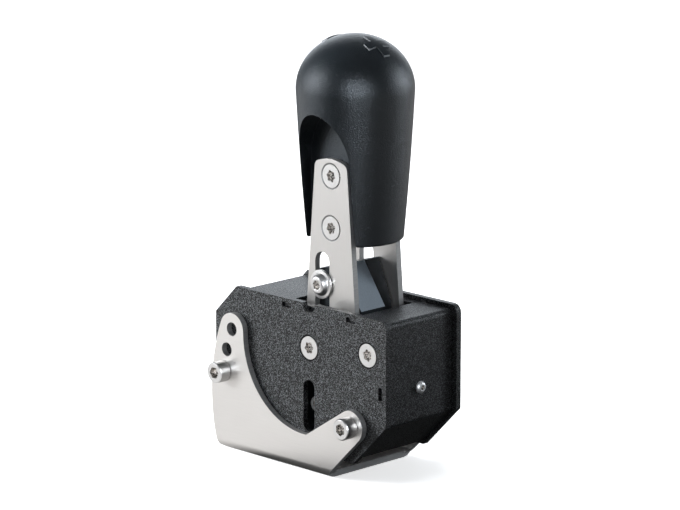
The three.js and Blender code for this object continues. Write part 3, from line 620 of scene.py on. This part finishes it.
# %% The turned bulb
knob_low, knob_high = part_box("knob")
knob_x = (knob_low.x + knob_high.x) / 2
DOME = 25 * MM
FOOT_RADIUS = 22.3 * MM
SHOULDER_RADIUS = (knob_high.x - knob_low.x) / 2
SWELL = 0.35 * MM
FOOT_BEVEL = 0.8 * MM
KNOB_SIDES = 160
FLANK_RINGS = 16
DOME_RINGS = 20
shoulder_z = knob_high.z - DOME


def dome_height(radius):
    """How high the dome stands over the shoulder, that far from the knob's axis."""
    return DOME * math.sqrt(max(0, 1 - (radius / SHOULDER_RADIUS) ** 2))


def knob_outline():
    points = [(0, knob_low.z), (FOOT_RADIUS - FOOT_BEVEL, knob_low.z)]
    rise = shoulder_z - knob_low.z - FOOT_BEVEL
    for i in range(FLANK_RINGS + 1):
        share = i / FLANK_RINGS
        radius = FOOT_RADIUS + (SHOULDER_RADIUS - FOOT_RADIUS) * share
        points.append((radius + SWELL * math.sin(math.pi * share),
                       knob_low.z + FOOT_BEVEL + rise * share))
    for i in range(1, DOME_RINGS):
        radius = SHOULDER_RADIUS * math.cos(math.pi / 2 * i / DOME_RINGS)
        points.append((radius, shoulder_z + dome_height(radius)))
    return points + [(0, knob_high.z)]


knob = spun("knob_bulb", knob_outline(), KNOB_SIDES)
knob.data.transform(Matrix.Translation((knob_x, 0, 0)))
print("knob corners", len(knob.data.vertices), "top", round(knob_high.z, 4))

# %% [markdown]
# The arms lie in two flat pockets with an arched top. The tool for a pocket starts as a
# disc stretched to the arch. Its lower half is cut away with bisect, its straight edge is
# drawn down past the knob's foot, and the whole face is then pushed outwards. The boolean
# takes it out of the knob, and the bevel after it gives the moulded, rounded rim.

# %% The arched pockets
POCKET_HALF_WIDTH = 15.8 * MM
POCKET_TOP_DROP = 34 * MM
POCKET_SPRING_DROP = 56 * MM
POCKET_RIM = 0.8 * MM
ARCH_SIDES = 96
pocket_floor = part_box("lever_core")[1].y
pocket_spring = knob_high.z - POCKET_SPRING_DROP
arch_rise = POCKET_SPRING_DROP - POCKET_TOP_DROP


def disc(name, radius, sides, height=0.0):
    bpy.ops.object.select_all(action="DESELECT")
    bpy.ops.mesh.primitive_circle_add(vertices=sides, radius=radius, fill_type="NGON")
    piece = bpy.context.object
    piece.name = piece.data.name = name
    piece.data.transform(Matrix.Translation((0, 0, height)))
    return piece


def arch_tool(side):
    tool = disc("pocket_tool", POCKET_HALF_WIDTH, ARCH_SIDES)
    edit(tool)
    bpy.ops.transform.resize(value=(1, arch_rise / POCKET_HALF_WIDTH, 1))
    edit_done()
    tool.data.transform(Matrix.Translation((knob_x, side * pocket_floor, pocket_spring))
                        @ Matrix.Rotation(math.pi / 2, 4, "X"))
    edit(tool)
    bpy.ops.mesh.bisect(plane_co=(0, 0, pocket_spring), plane_no=(0, 0, 1), clear_inner=True)
    pick_corners(tool, lambda corner: abs(corner.co.z - pocket_spring) < WELD)
    drop = knob_low.z - pocket_spring - FOOT_BEVEL
    bpy.ops.mesh.extrude_edges_move(TRANSFORM_OT_translate={"value": (0, 0, drop)})
    bpy.ops.mesh.select_all(action="SELECT")
    depth = (0, side * SHOULDER_RADIUS, 0)
    bpy.ops.mesh.extrude_region_move(TRANSFORM_OT_translate={"value": depth})
    tidy_shell()
    return tool


for side in (-1, 1):
    cut_out(knob, arch_tool(side))
round_edges(knob, POCKET_RIM, segments=4)
stand_for(knob, "knob")
print("knob faces", len(knob.data.polygons))

# %% [markdown]
# On the dome stand two plain marks, a plus towards the front and a minus towards the rear,
# for shifting up and down. Each starts as a flat bar or cross that goes right through the
# dome. A dome a hair larger than the knob's keeps only what is inside it, so that each mark
# follows the knob and stands up by about the same height everywhere.

# %% Plus and minus
MARK_LENGTH = 13 * MM
MARK_WIDTH = 3.6 * MM
MARK_OFFSET = 13.5 * MM
MARK_RAISE = 0.6 * MM
MARK_SINK = 3 * MM
MARK_EDGE = 0.3 * MM
ALONG_DOME = 0.9


def bar(name, middle_x, length_x, length_y):
    bpy.ops.object.select_all(action="DESELECT")
    bpy.ops.mesh.primitive_plane_add(size=1)
    piece = bpy.context.object
    piece.name = piece.data.name = name
    edit(piece)
    bpy.ops.transform.resize(value=(length_x, length_y, 1))
    base = shoulder_z + dome_height(MARK_OFFSET + MARK_LENGTH / 2) - MARK_SINK
    bpy.ops.transform.translate(value=(middle_x, 0, base))
    bpy.ops.mesh.extrude_region_move(TRANSFORM_OT_translate={"value": (0, 0, DOME)})
    tidy_shell()
    return piece


def raised_dome():
    """The dome made larger by the height of the marks, down to its shoulder."""
    rings = [(0, shoulder_z), (SHOULDER_RADIUS + MARK_RAISE, shoulder_z)]
    for i in range(1, DOME_RINGS):
        angle = math.pi / 2 * i / DOME_RINGS
        rings.append(((SHOULDER_RADIUS + MARK_RAISE) * math.cos(angle),
                      shoulder_z + (DOME + MARK_RAISE) * math.sin(angle)))
    shell = spun("mark_tool", rings + [(0, shoulder_z + DOME + MARK_RAISE)], KNOB_SIDES)
    shell.data.transform(Matrix.Translation((knob_x, 0, 0)))
    return shell


def leans_off_dome(face):
    """Whether the face is one of a mark's sides, and not its top, which follows the dome."""
    place = face.center - Vector((knob_x, 0, shoulder_z))
    outward = Vector((place.x, place.y, place.z * (SHOULDER_RADIUS / DOME) ** 2))
    return face.normal.dot(outward.normalized()) < ALONG_DOME


def on_dome(piece):
    shell = raised_dome()
    apply_modifier(piece, "BOOLEAN", operation="INTERSECT", object=shell, solver="EXACT")
    bpy.data.objects.remove(shell)
    piece.data.materials.append(mark_face)
    round_edges(piece, MARK_EDGE, segments=1)
    # The sides of each mark are painted pale: a painted highlight along its edges.
    second_finish(piece, painted_mark_highlight, leans_off_dome)
    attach(piece, "grip")


minus = bar("minus_mark", knob_x - MARK_OFFSET, MARK_WIDTH, MARK_LENGTH)
plus = bar("plus_mark", knob_x + MARK_OFFSET, MARK_WIDTH, MARK_LENGTH)
crossbar = bar("plus_crossbar", knob_x + MARK_OFFSET, MARK_LENGTH, MARK_WIDTH)
apply_modifier(plus, "BOOLEAN", operation="UNION", object=crossbar, solver="EXACT")
bpy.data.objects.remove(crossbar)
for mark in (minus, plus):
    on_dome(mark)
    pale = sum(face.material_index for face in mark.data.polygons)
    print(mark.name, "faces", len(mark.data.polygons), "pale", pale)

# %% [markdown]
# A screw is drawn once with its head up along Z and then copied to each place. Its head and
# shank are spun, and the hollow for the key is cut out with a prism: six-sided for a hex
# key, or six-lobed, which starts as a circle whose corners are drawn in, lobe by lobe.

# %% Hollows for the keys
KEY_OVERRUN = 1 * MM
KEY_POINT = 0.25
LOBE_STEPS = ((10, 0.94), (20, 0.81), (30, 0.73))
LOBE_SIDES = 36
LOBE_APART = 60


def draw_in_lobes(tool):
    """Draws in the corners that lie between the six lobes, by their angle from a lobe."""
    def off_lobe(corner):
        degrees = math.degrees(math.atan2(corner.co.y, corner.co.x)) % LOBE_APART
        return min(degrees, LOBE_APART - degrees)

    for offset, share in LOBE_STEPS:
        pick_corners(tool, lambda corner: abs(off_lobe(corner) - offset) < 1)
        bpy.ops.transform.resize(value=(share, share, 1))
        edit_done()


def key_tool(across, depth, top, lobed):
    """A prism that reaches that deep below the top, and ends in the punch's blunt point."""
    radius = across / 2 if lobed else across / math.sqrt(3)
    tool = disc("key_tool", radius, LOBE_SIDES if lobed else 6)
    if lobed:
        draw_in_lobes(tool)
    tool.data.transform(Matrix.Translation((0, 0, top + KEY_OVERRUN)))
    edit(tool)
    drop = -(depth + KEY_OVERRUN)
    bpy.ops.mesh.extrude_region_move(TRANSFORM_OT_translate={"value": (0, 0, drop)})
    point = (0, 0, -radius * KEY_POINT)
    bpy.ops.mesh.extrude_region_move(TRANSFORM_OT_translate={"value": point})
    bpy.ops.transform.resize(value=(KEY_POINT, KEY_POINT, 1))
    tidy_shell()
    return tool


def cut_key(head, across, depth, top, lobed=False):
    cut_out(head, key_tool(across, depth, top, lobed))
    reach = across / math.sqrt(3) + WELD
    # The hollow's faces get the patchy colour: painted shade inside it, with painted glints.
    second_finish(head, hollow_shade_and_glints, lambda face: face.center.z < top - WELD
                  and face.center.z > top - depth - across
                  and all(math.hypot(*head.data.vertices[i].co.xy) < reach
                          for i in face.vertices))


# %% [markdown]
# A cap screw's round side is knurled, so that it can be started with the fingers. Every
# other corner of a circle is drawn in a little, and the circle is then pushed up to the
# head's height, with a small chamfer round the top. The shank is spun, and joined on.

# %% Knurled cap screws
KNURL_RIDGES = 36
KNURL_DEPTH = 0.98
KNURL_REACH = KNURL_DEPTH ** 3
CAP_CHAMFER = 0.45 * MM
SCREW_EDGE = 0.08 * MM
SHANK_SIDES = 24
TIP_SHARE = 0.2


def knurled_head(name, radius, height):
    head = disc(name, radius, KNURL_RIDGES * 2)
    pick_corners(head, lambda corner: corner.index % 2 == 1)
    bpy.ops.transform.resize(value=(KNURL_DEPTH, KNURL_DEPTH, 1))
    bpy.ops.mesh.select_all(action="SELECT")
    side = (0, 0, height - CAP_CHAMFER)
    bpy.ops.mesh.extrude_region_move(TRANSFORM_OT_translate={"value": side})
    bpy.ops.mesh.extrude_region_move(TRANSFORM_OT_translate={"value": (0, 0, CAP_CHAMFER)})
    narrow = 1 - CAP_CHAMFER / radius
    bpy.ops.transform.resize(value=(narrow, narrow, 1))
    tidy_shell()
    return head


def add_shank(head, radius, length):
    tip = radius * TIP_SHARE
    shank = spun("shank", [(0, -length), (radius - tip, -length), (radius, tip - length),
                           (radius, 0), (0, 0)], SHANK_SIDES)
    shank.data.materials.append(bright_steel)
    only(shank)
    head.select_set(True)
    bpy.context.view_layer.objects.active = head
    bpy.ops.object.join()
    return head


def cap_screw(name, radius, height, key, depth, shank, length):
    head = knurled_head(name, radius, height)
    head.data.materials.append(bright_steel)
    cut_key(head, key, depth, height)
    round_edges(head, SCREW_EDGE, degrees=40)
    # The knurled side is painted darker: painted shade between its ridges.
    second_finish(head, knurl_side_shade, lambda face: abs(face.normal.z) < ACROSS
                  and math.hypot(*face.center.xy) > radius * KNURL_REACH)
    return add_shank(head, shank, length)


m6_cap = cap_screw("cap_screw", radius=5 * MM, height=6 * MM, key=5 * MM, depth=3 * MM,
                   shank=3 * MM, length=16 * MM)
m4_cap = cap_screw("small_cap_screw", radius=3.6 * MM, height=4 * MM, key=3 * MM,
                   depth=2 * MM, shank=2 * MM, length=13.8 * MM)
print("cap screw faces", len(m6_cap.data.polygons), len(m4_cap.data.polygons))

# %% [markdown]
# The other heads are spun from their outline: the countersunk ones as a flat disc over a
# cone, the button ones as a low dome, and the flanged ones as a dome on a thin washer.

# %% Countersunk, button and flanged screws
HEAD_SIDES = 64
SUNK_RIM = 0.25 * MM
BUTTON_SHARES = ((1, 0.14), (0.97, 0.36), (0.88, 0.62), (0.74, 0.83), (0.56, 1))
FLANGE_SHARES = ((1, 0.20), (0.98, 0.28), (0.79, 0.30), (0.75, 0.38), (0.71, 0.56),
                 (0.62, 0.82), (0.56, 0.95), (0.50, 1))


def spun_screw(name, head_outline, key, depth, shank, length, lobed=False):
    """The outline starts at the shank under the head and ends on the axis at its top."""
    tip = shank * TIP_SHARE
    top = head_outline[-1][1]
    foot = [(0, top - length), (shank - tip, top - length), (shank, top - length + tip)]
    screw = spun(name, foot + head_outline, HEAD_SIDES)
    screw.data.materials.append(bright_steel)
    cut_key(screw, key, depth, top, lobed)
    round_edges(screw, SCREW_EDGE)
    return screw


def countersunk(name, head, key, depth, shank, length, lobed):
    cone = head - shank
    outline = [(shank, -cone - SUNK_RIM), (head, -SUNK_RIM), (head, 0), (0, 0)]
    return spun_screw(name, outline, key, depth, shank, length, lobed)


def domed(name, shares, radius, height, key, depth, shank, length):
    """shares are the head's corners, as parts of its radius and height."""
    outline = [(shank, 0), (radius, 0)] + [(radius * r, height * h) for r, h in shares]
    return spun_screw(name, outline + [(0, height)], key, depth, shank, length + height)


sunk_screw = countersunk("sunk_screw", head=5.4 * MM, key=5.8 * MM, depth=2 * MM,
                         shank=3 * MM, length=12 * MM, lobed=True)
small_sunk = countersunk("small_sunk_screw", head=2.8 * MM, key=2 * MM, depth=0.8 * MM,
                         shank=1.5 * MM, length=4.6 * MM, lobed=False)
flange_screw = domed("flange_screw", FLANGE_SHARES, radius=6.8 * MM, height=3.6 * MM,
                     key=4 * MM, depth=2 * MM, shank=3 * MM, length=14 * MM)
cover_button = domed("button_screw", BUTTON_SHARES, radius=2.85 * MM, height=1.8 * MM,
                     key=2 * MM, depth=1 * MM, shank=1.5 * MM, length=8 * MM)
board_button = domed("board_button", BUTTON_SHARES, radius=2.7 * MM, height=1.8 * MM,
                     key=2 * MM, depth=1 * MM, shank=1.5 * MM, length=5.5 * MM)
patterns = (m6_cap, m4_cap, sunk_screw, small_sunk, flange_screw, cover_button, board_button)
print("screws drawn", len(patterns))

# %% [markdown]
# Each copy is turned so that its head looks outward, and moved until the top of its head
# lies where the top of the imported screw does. Screws never stop at the same angle, so every
# copy is also turned a little further about its own axis than the one before. Three of them
# get the whiter colour, a painted glint.

# %% Every screw in its place
NEAR, FAR = Vector((0, -1, 0)), Vector((0, 1, 0))
FRONT, BELOW = Vector((1, 0, 0)), Vector((0, 0, -1))
SCREW_TURN = math.radians(17)


def settle(piece, node, outward, turn=0.0):
    """Turns a piece drawn up along Z to look outward, with its top at the node's top."""
    low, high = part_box(node)
    aim = Vector((0, 0, 1)).rotation_difference(outward).to_matrix().to_4x4()
    piece.data.transform(aim @ Matrix.Rotation(turn, 4, "Z"))
    top = max(corner.co.dot(outward) for corner in piece.data.vertices)
    middle = (low + high) / 2
    reach = max(low.dot(outward), high.dot(outward))
    across = middle - outward * middle.dot(outward)
    piece.data.transform(Matrix.Translation(across + outward * (reach - top)))


def place_screw(pattern, node, outward, count):
    piece = bpy.data.objects.new(node + "_screw", pattern.data.copy())
    bpy.context.scene.collection.objects.link(piece)
    settle(piece, node, outward, count * SCREW_TURN)
    stand_for(piece, node)
    return piece


SIDE_SCREWS = {
    "front_bolt": m6_cap, "rear_bolt": m6_cap, "pivot_screw": sunk_screw,
    "tie_screw": sunk_screw, "lower_arm_screw": sunk_screw, "upper_arm_screw": sunk_screw,
    "clamp_screw": flange_screw, "force_screw": m4_cap,
}
OTHER_SCREWS = {
    "cover_screw": (cover_button, FRONT), "cradle_screw_rear": (small_sunk, BELOW),
    "cradle_screw_front": (small_sunk, BELOW), "board_screw_rear": (board_button, NEAR),
    "board_screw_front": (board_button, NEAR),
}
placed = []
for family, pattern in SIDE_SCREWS.items():
    for side, outward in (("_near", NEAR), ("_far", FAR)):
        placed.append(place_screw(pattern, family + side, outward, len(placed)))
for node, (pattern, outward) in OTHER_SCREWS.items():
    placed.append(place_screw(pattern, node, outward, len(placed)))
# These three screws are painted whiter: a painted glint.
for node in ("force_screw_near", "force_screw_far", "cover_screw"):
    bpy.data.objects[node + "_screw"].data.materials[0] = painted_glint_metal
for pattern in patterns:
    bpy.data.objects.remove(pattern)
print("screws placed", len(placed))

# %% [markdown]
# A ball bearing shows a ground ring inside and outside and a recessed shield between them.
# Its outline is a narrow loop around the bore, spun once round, with a groove drawn into
# each face for the shield.

# %% Pivot bearings
SHIELD_INNER, SHIELD_OUTER = 0.32, 0.78
SHIELD_DEPTH = 0.35 * MM
BORE_FIT = 0.15 * MM
RING_EDGE = 0.1 * MM
pivot_low, pivot_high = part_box("pivot_shaft")


def bearing(node, outward):
    low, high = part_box(node)
    outer = (high.x - low.x) / 2
    bore = (pivot_high.z - pivot_low.z) / 2 + BORE_FIT
    width = high.y - low.y
    wall = outer - bore
    inner_land, outer_land = bore + wall * SHIELD_INNER, bore + wall * SHIELD_OUTER
    face = [(bore, width), (inner_land, width), (inner_land, width - SHIELD_DEPTH),
            (outer_land, width - SHIELD_DEPTH), (outer_land, width), (outer, width)]
    back = [(radius, width - height) for radius, height in reversed(face)]
    piece = spun(node + "_rings", face + back + face[:1], HEAD_SIDES)
    piece.data.materials.append(bearing_steel)
    second_finish(piece, black_steel, lambda side: SHIELD_DEPTH / 2 < min(
        side.center.z, width - side.center.z) < SHIELD_DEPTH * 1.5)
    round_edges(piece, RING_EDGE)
    settle(piece, node, outward)
    stand_for(piece, node)
    return piece


for node, outward in (("pivot_bearing_near", NEAR), ("pivot_bearing_far", FAR)):
    print(node, "faces", len(bearing(node, outward).data.polygons))

# %% [markdown]
# The sensor board carries a few parts besides the sensor: a controller chip with tinned
# legs, and a row of small black resistors. Each is a plane drawn to size on the board's
# face, pushed up to its height, with a rim inset in its top. None of them is in the picture.

# %% Parts on the sensor board
board_low, board_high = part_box("sensor_board")
CHIP = (7 * MM, 7 * MM, 0.9 * MM)
RESISTOR = (2 * MM, 1.25 * MM, 0.5 * MM)
LEG = (0.5 * MM, 9 * MM, 0.2 * MM)
CHIP_PLACE = 23 * MM
LEGS, LEG_PITCH = 6, 1.1 * MM
RESISTORS, RESISTOR_START, RESISTOR_PITCH = 4, 32 * MM, 3.2 * MM
RESISTOR_DROP = 3 * MM
INSET_SHARE, PART_EDGE_SHARE = 0.3, 0.1
board_middle = (board_low.z + board_high.z) / 2


def board_part(name, middle_x, middle_z, size, material):
    """A low block on the board's near face. size runs along X, along Z and off the board."""
    bpy.ops.object.select_all(action="DESELECT")
    bpy.ops.mesh.primitive_plane_add(size=1)
    piece = bpy.context.object
    piece.name = piece.data.name = name
    edit(piece)
    bpy.ops.transform.resize(value=(size[0], size[1], 1))
    bpy.ops.mesh.extrude_region_move(TRANSFORM_OT_translate={"value": (0, 0, size[2])})
    bpy.ops.mesh.inset(thickness=min(size) * INSET_SHARE, depth=0)
    tidy_shell()
    piece.data.transform(Matrix.Translation((middle_x, board_low.y, middle_z))
                         @ Matrix.Rotation(math.pi / 2, 4, "X"))
    piece.data.materials.append(material)
    round_edges(piece, min(size) * PART_EDGE_SHARE)
    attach(piece, "housing")
    return piece


chip_x = board_low.x + CHIP_PLACE
parts = [board_part("controller_chip", chip_x, board_middle, CHIP, chip_plastic)]
for i in range(LEGS):
    place = chip_x + (i - (LEGS - 1) / 2) * LEG_PITCH
    parts.append(board_part("chip_leg_%d" % i, place, board_middle, LEG, tin_solder))
for i in range(RESISTORS):
    place = board_low.x + RESISTOR_START + i * RESISTOR_PITCH
    parts.append(board_part("resistor_%d" % i, place, board_high.z - RESISTOR_DROP,
                            RESISTOR, chip_plastic))
print("board parts", len(parts))

# %% [markdown]
# The remaining solids are milled blocks, turned ties and spacers, magnets, stops, the board
# and the socket. Their shapes are right as they are, so each gets a welded copy with its
# edges broken to suit it.

# %% Inner pieces
SLOPE_ACROSS, SLOPE_UP = 0.7, 0.45
EDGE_OF_SLOT = {"black_anodised": 0.3 * MM, "magnet_nickel": 0.25 * MM, "stop_rubber": 0.3 * MM}
PLAIN_EDGE = 0.1 * MM


def sloped_front(face):
    """The core's long front slope, which leans back by about 34 degrees."""
    return face.normal.x > SLOPE_ACROSS and face.normal.z > SLOPE_UP


for node in sorted(set(nodes) - dressed):
    piece = welded_copy(node, node + "_fine")
    round_edges(piece, EDGE_OF_SLOT.get(slot_of[node], PLAIN_EDGE))
    stand_for(piece, node)
    if node == "lever_core":
        # The long front slope is painted much lighter: painted light where the light falls on it.
        second_finish(piece, painted_lit_slope, sloped_front)
print("nodes dressed", len(dressed))

# %% [markdown]
# The studio is a pale floor under a pale sky, as for a catalogue. To the camera the sky is
# plain white. Black paint only looks black where it has something dark to reflect, so to
# all other rays the sky is dim, and it brightens behind the object, where the tops of the
# plates pick it up. The floor is white to the camera and keeps the object's soft shadow.
# To whatever mirrors it, the floor glows as a painted reflection: white on the near side,
# where the key lamp stands, from a few centimetres out, and in a small patch in front of the
# bracket. Right beside the object on that side it stays dim, a painted shadow for the bends
# and lower edges that mirror it. It is grey far out on the right, and nearly black elsewhere.
# To light that bounces off it, the floor is nearly black. No real studio does this: it
# stands in for cards and flags.

# %% Sky
SKY_DIM, SKY_BRIGHT = 0.15, 2.4
SKY_MIDDLE = (-0.69, 0.70, 0.12)
GLOW_START, GLOW_FULL = 0.84, 0.98
SKY_COLD = (0.88, 0.94, 1, 1)


def direction_share(tree, vector, direction, low, high, first, last):
    """How far the vector points along the direction, drawn out between first and last."""
    along = tree.node("ShaderNodeVectorMath", {"operation": "DOT_PRODUCT"},
                      {0: vector, 1: direction}, "Value")
    return tree.steps(along, low, high, first, last)


def studio_sky():
    world = bpy.data.worlds.new("studio_sky")
    tree = Tree(world)
    ray = tree.node("ShaderNodeTexCoord", {}, {}, "Generated")
    glow = direction_share(tree, ray, SKY_MIDDLE, GLOW_START, GLOW_FULL, SKY_DIM, SKY_BRIGHT)
    seen = tree.ray("Camera")
    background = tree.nodes["Background"].inputs
    tree.feed(background["Strength"], glow * (1 - seen) + seen)
    tree.feed(background["Color"], tree.mix(seen, SKY_COLD, (1, 1, 1, 1)))
    bpy.context.scene.world = world


studio_sky()

# %% Floor
FLOOR_SIZE = 8.0
FLOOR_DROP = 0.2 * MM
FLOOR_KEY_SIDE = (-0.35, -0.94, 0)
FLOOR_KEY_START, FLOOR_KEY_END = 0.036, 0.050
FLOOR_CAMERA_SIDE = (0.7, -0.7, 0)
FLOOR_CAMERA_START, FLOOR_CAMERA_END = 0.10, 0.20
FLOOR_RIGHT_SIDE = (0.7, 0.7, 0)
FLOOR_RIGHT_START, FLOOR_RIGHT_END = 0.12, 0.35
FLOOR_PATCH = (0.28, -0.26, 0)
FLOOR_PATCH_START, FLOOR_PATCH_END = 0.20, 0.06
FLOOR_DIM, FLOOR_RIGHT, FLOOR_BRIGHT = 0.03, 0.55, 0.90


def glow_of(finish, strength):
    return finish.node("ShaderNodeEmission", {}, {"Strength": strength})


def blend(finish, share, first, second):
    return finish.node("ShaderNodeMixShader", {}, {0: share, 1: first, 2: second})


def pale_floor():
    bpy.ops.object.select_all(action="DESELECT")
    bpy.ops.mesh.primitive_plane_add(size=FLOOR_SIZE, location=(0, 0, -FLOOR_DROP))
    floor = bpy.context.object
    floor.name = "floor"
    finish = Finish("pale_floor", Roughness=0.9, Specular_IOR_Level=0.1, Emission_Strength=0.65)
    seen = finish.ray("Camera")
    finish.set("Base Color", finish.mix(seen, grey(0.04), grey(0.9)))
    finish.set("Emission Color", finish.mix(seen, grey(0), grey(1)))
    place = finish.node("ShaderNodeTexCoord", {}, {}, "Object")
    # Close beside the object the mirrored floor stays dim: a painted shadow in what the metal
    # mirrors.
    key_side_past_shadow = direction_share(finish, place, FLOOR_KEY_SIDE, FLOOR_KEY_START, FLOOR_KEY_END, 0, 1)
    off_camera = direction_share(finish, place, FLOOR_CAMERA_SIDE,
                                 FLOOR_CAMERA_START, FLOOR_CAMERA_END, 1, 0)
    right_side = direction_share(finish, place, FLOOR_RIGHT_SIDE,
                                 FLOOR_RIGHT_START, FLOOR_RIGHT_END, 0, 1)
    around = blend(finish, right_side, glow_of(finish, FLOOR_DIM), glow_of(finish, FLOOR_RIGHT))
    away = finish.node("ShaderNodeVectorMath", {"operation": "DISTANCE"},
                       {0: place, 1: FLOOR_PATCH}, "Value")
    patch = finish.steps(away, FLOOR_PATCH_END, FLOOR_PATCH_START, 1, 0)
    bright = key_side_past_shadow * off_camera + patch
    mirrored = blend(finish, bright, around, glow_of(finish, FLOOR_BRIGHT))
    plain = Value(finish, finish.surface.outputs[0])
    both = blend(finish, finish.ray("Glossy"), plain, mirrored)
    finish.feed(finish.nodes["Material Output"].inputs["Surface"], both)
    floor.data.materials.append(finish.material)


pale_floor()
print("floor", FLOOR_SIZE, "m, sky", SKY_DIM, "to", SKY_BRIGHT)

# %% [markdown]
# Five soft lamps model the shape. The key is a softbox low at the left, and a narrow one
# behind on the right draws the knob's other edge. A small one in front lights nothing and is
# only mirrored: it gives the knob its faint middle light. One above and one on the near side
# only fill: nothing mirrors them, so that the knob's dome stays dark, as it would under a
# black ceiling.

# %% Lamps
AIM = Vector((0, 0, 0.11))


def softbox(name, direction, distance, width, height, watts, cold=1.0):
    lamp = bpy.data.objects.new(name, bpy.data.lights.new(name, "AREA"))
    lamp.data.shape = "RECTANGLE"
    lamp.data.size, lamp.data.size_y = width, height
    lamp.data.energy = watts
    lamp.data.color = (cold, (1 + cold) / 2, 1)
    lamp.visible_camera = False
    lamp.location = AIM + Vector(direction).normalized() * distance
    lamp.rotation_mode = "QUATERNION"
    lamp.rotation_quaternion = (AIM - lamp.location).to_track_quat("-Z", "Y")
    bpy.context.scene.collection.objects.link(lamp)
    return lamp


softbox("key_left", (-0.72, -0.69, 0.28), distance=1.05, width=0.5, height=0.5,
        watts=7.4, cold=0.94)
softbox("edge_right", (0.42, 0.89, 0.20), distance=1.1, width=0.3, height=0.5,
        watts=5, cold=0.88)
front = softbox("front_low", (0.73, -0.65, 0.21), distance=0.95, width=0.14, height=0.12,
                watts=6.8, cold=0.88)
front.visible_diffuse = False
above = softbox("above", (-0.05, 0.05, 1.0), distance=1.4, width=0.7, height=0.7,
                watts=10, cold=0.94)
near_fill = softbox("fill_near", (-0.8, -0.58, 0.2), distance=1.2, width=0.6, height=0.6,
                    watts=26)
for fill in (above, near_fill):
    fill.visible_glossy = False
bpy.context.scene.view_settings.view_transform = "Standard"
print("lamps", len(bpy.data.lights))
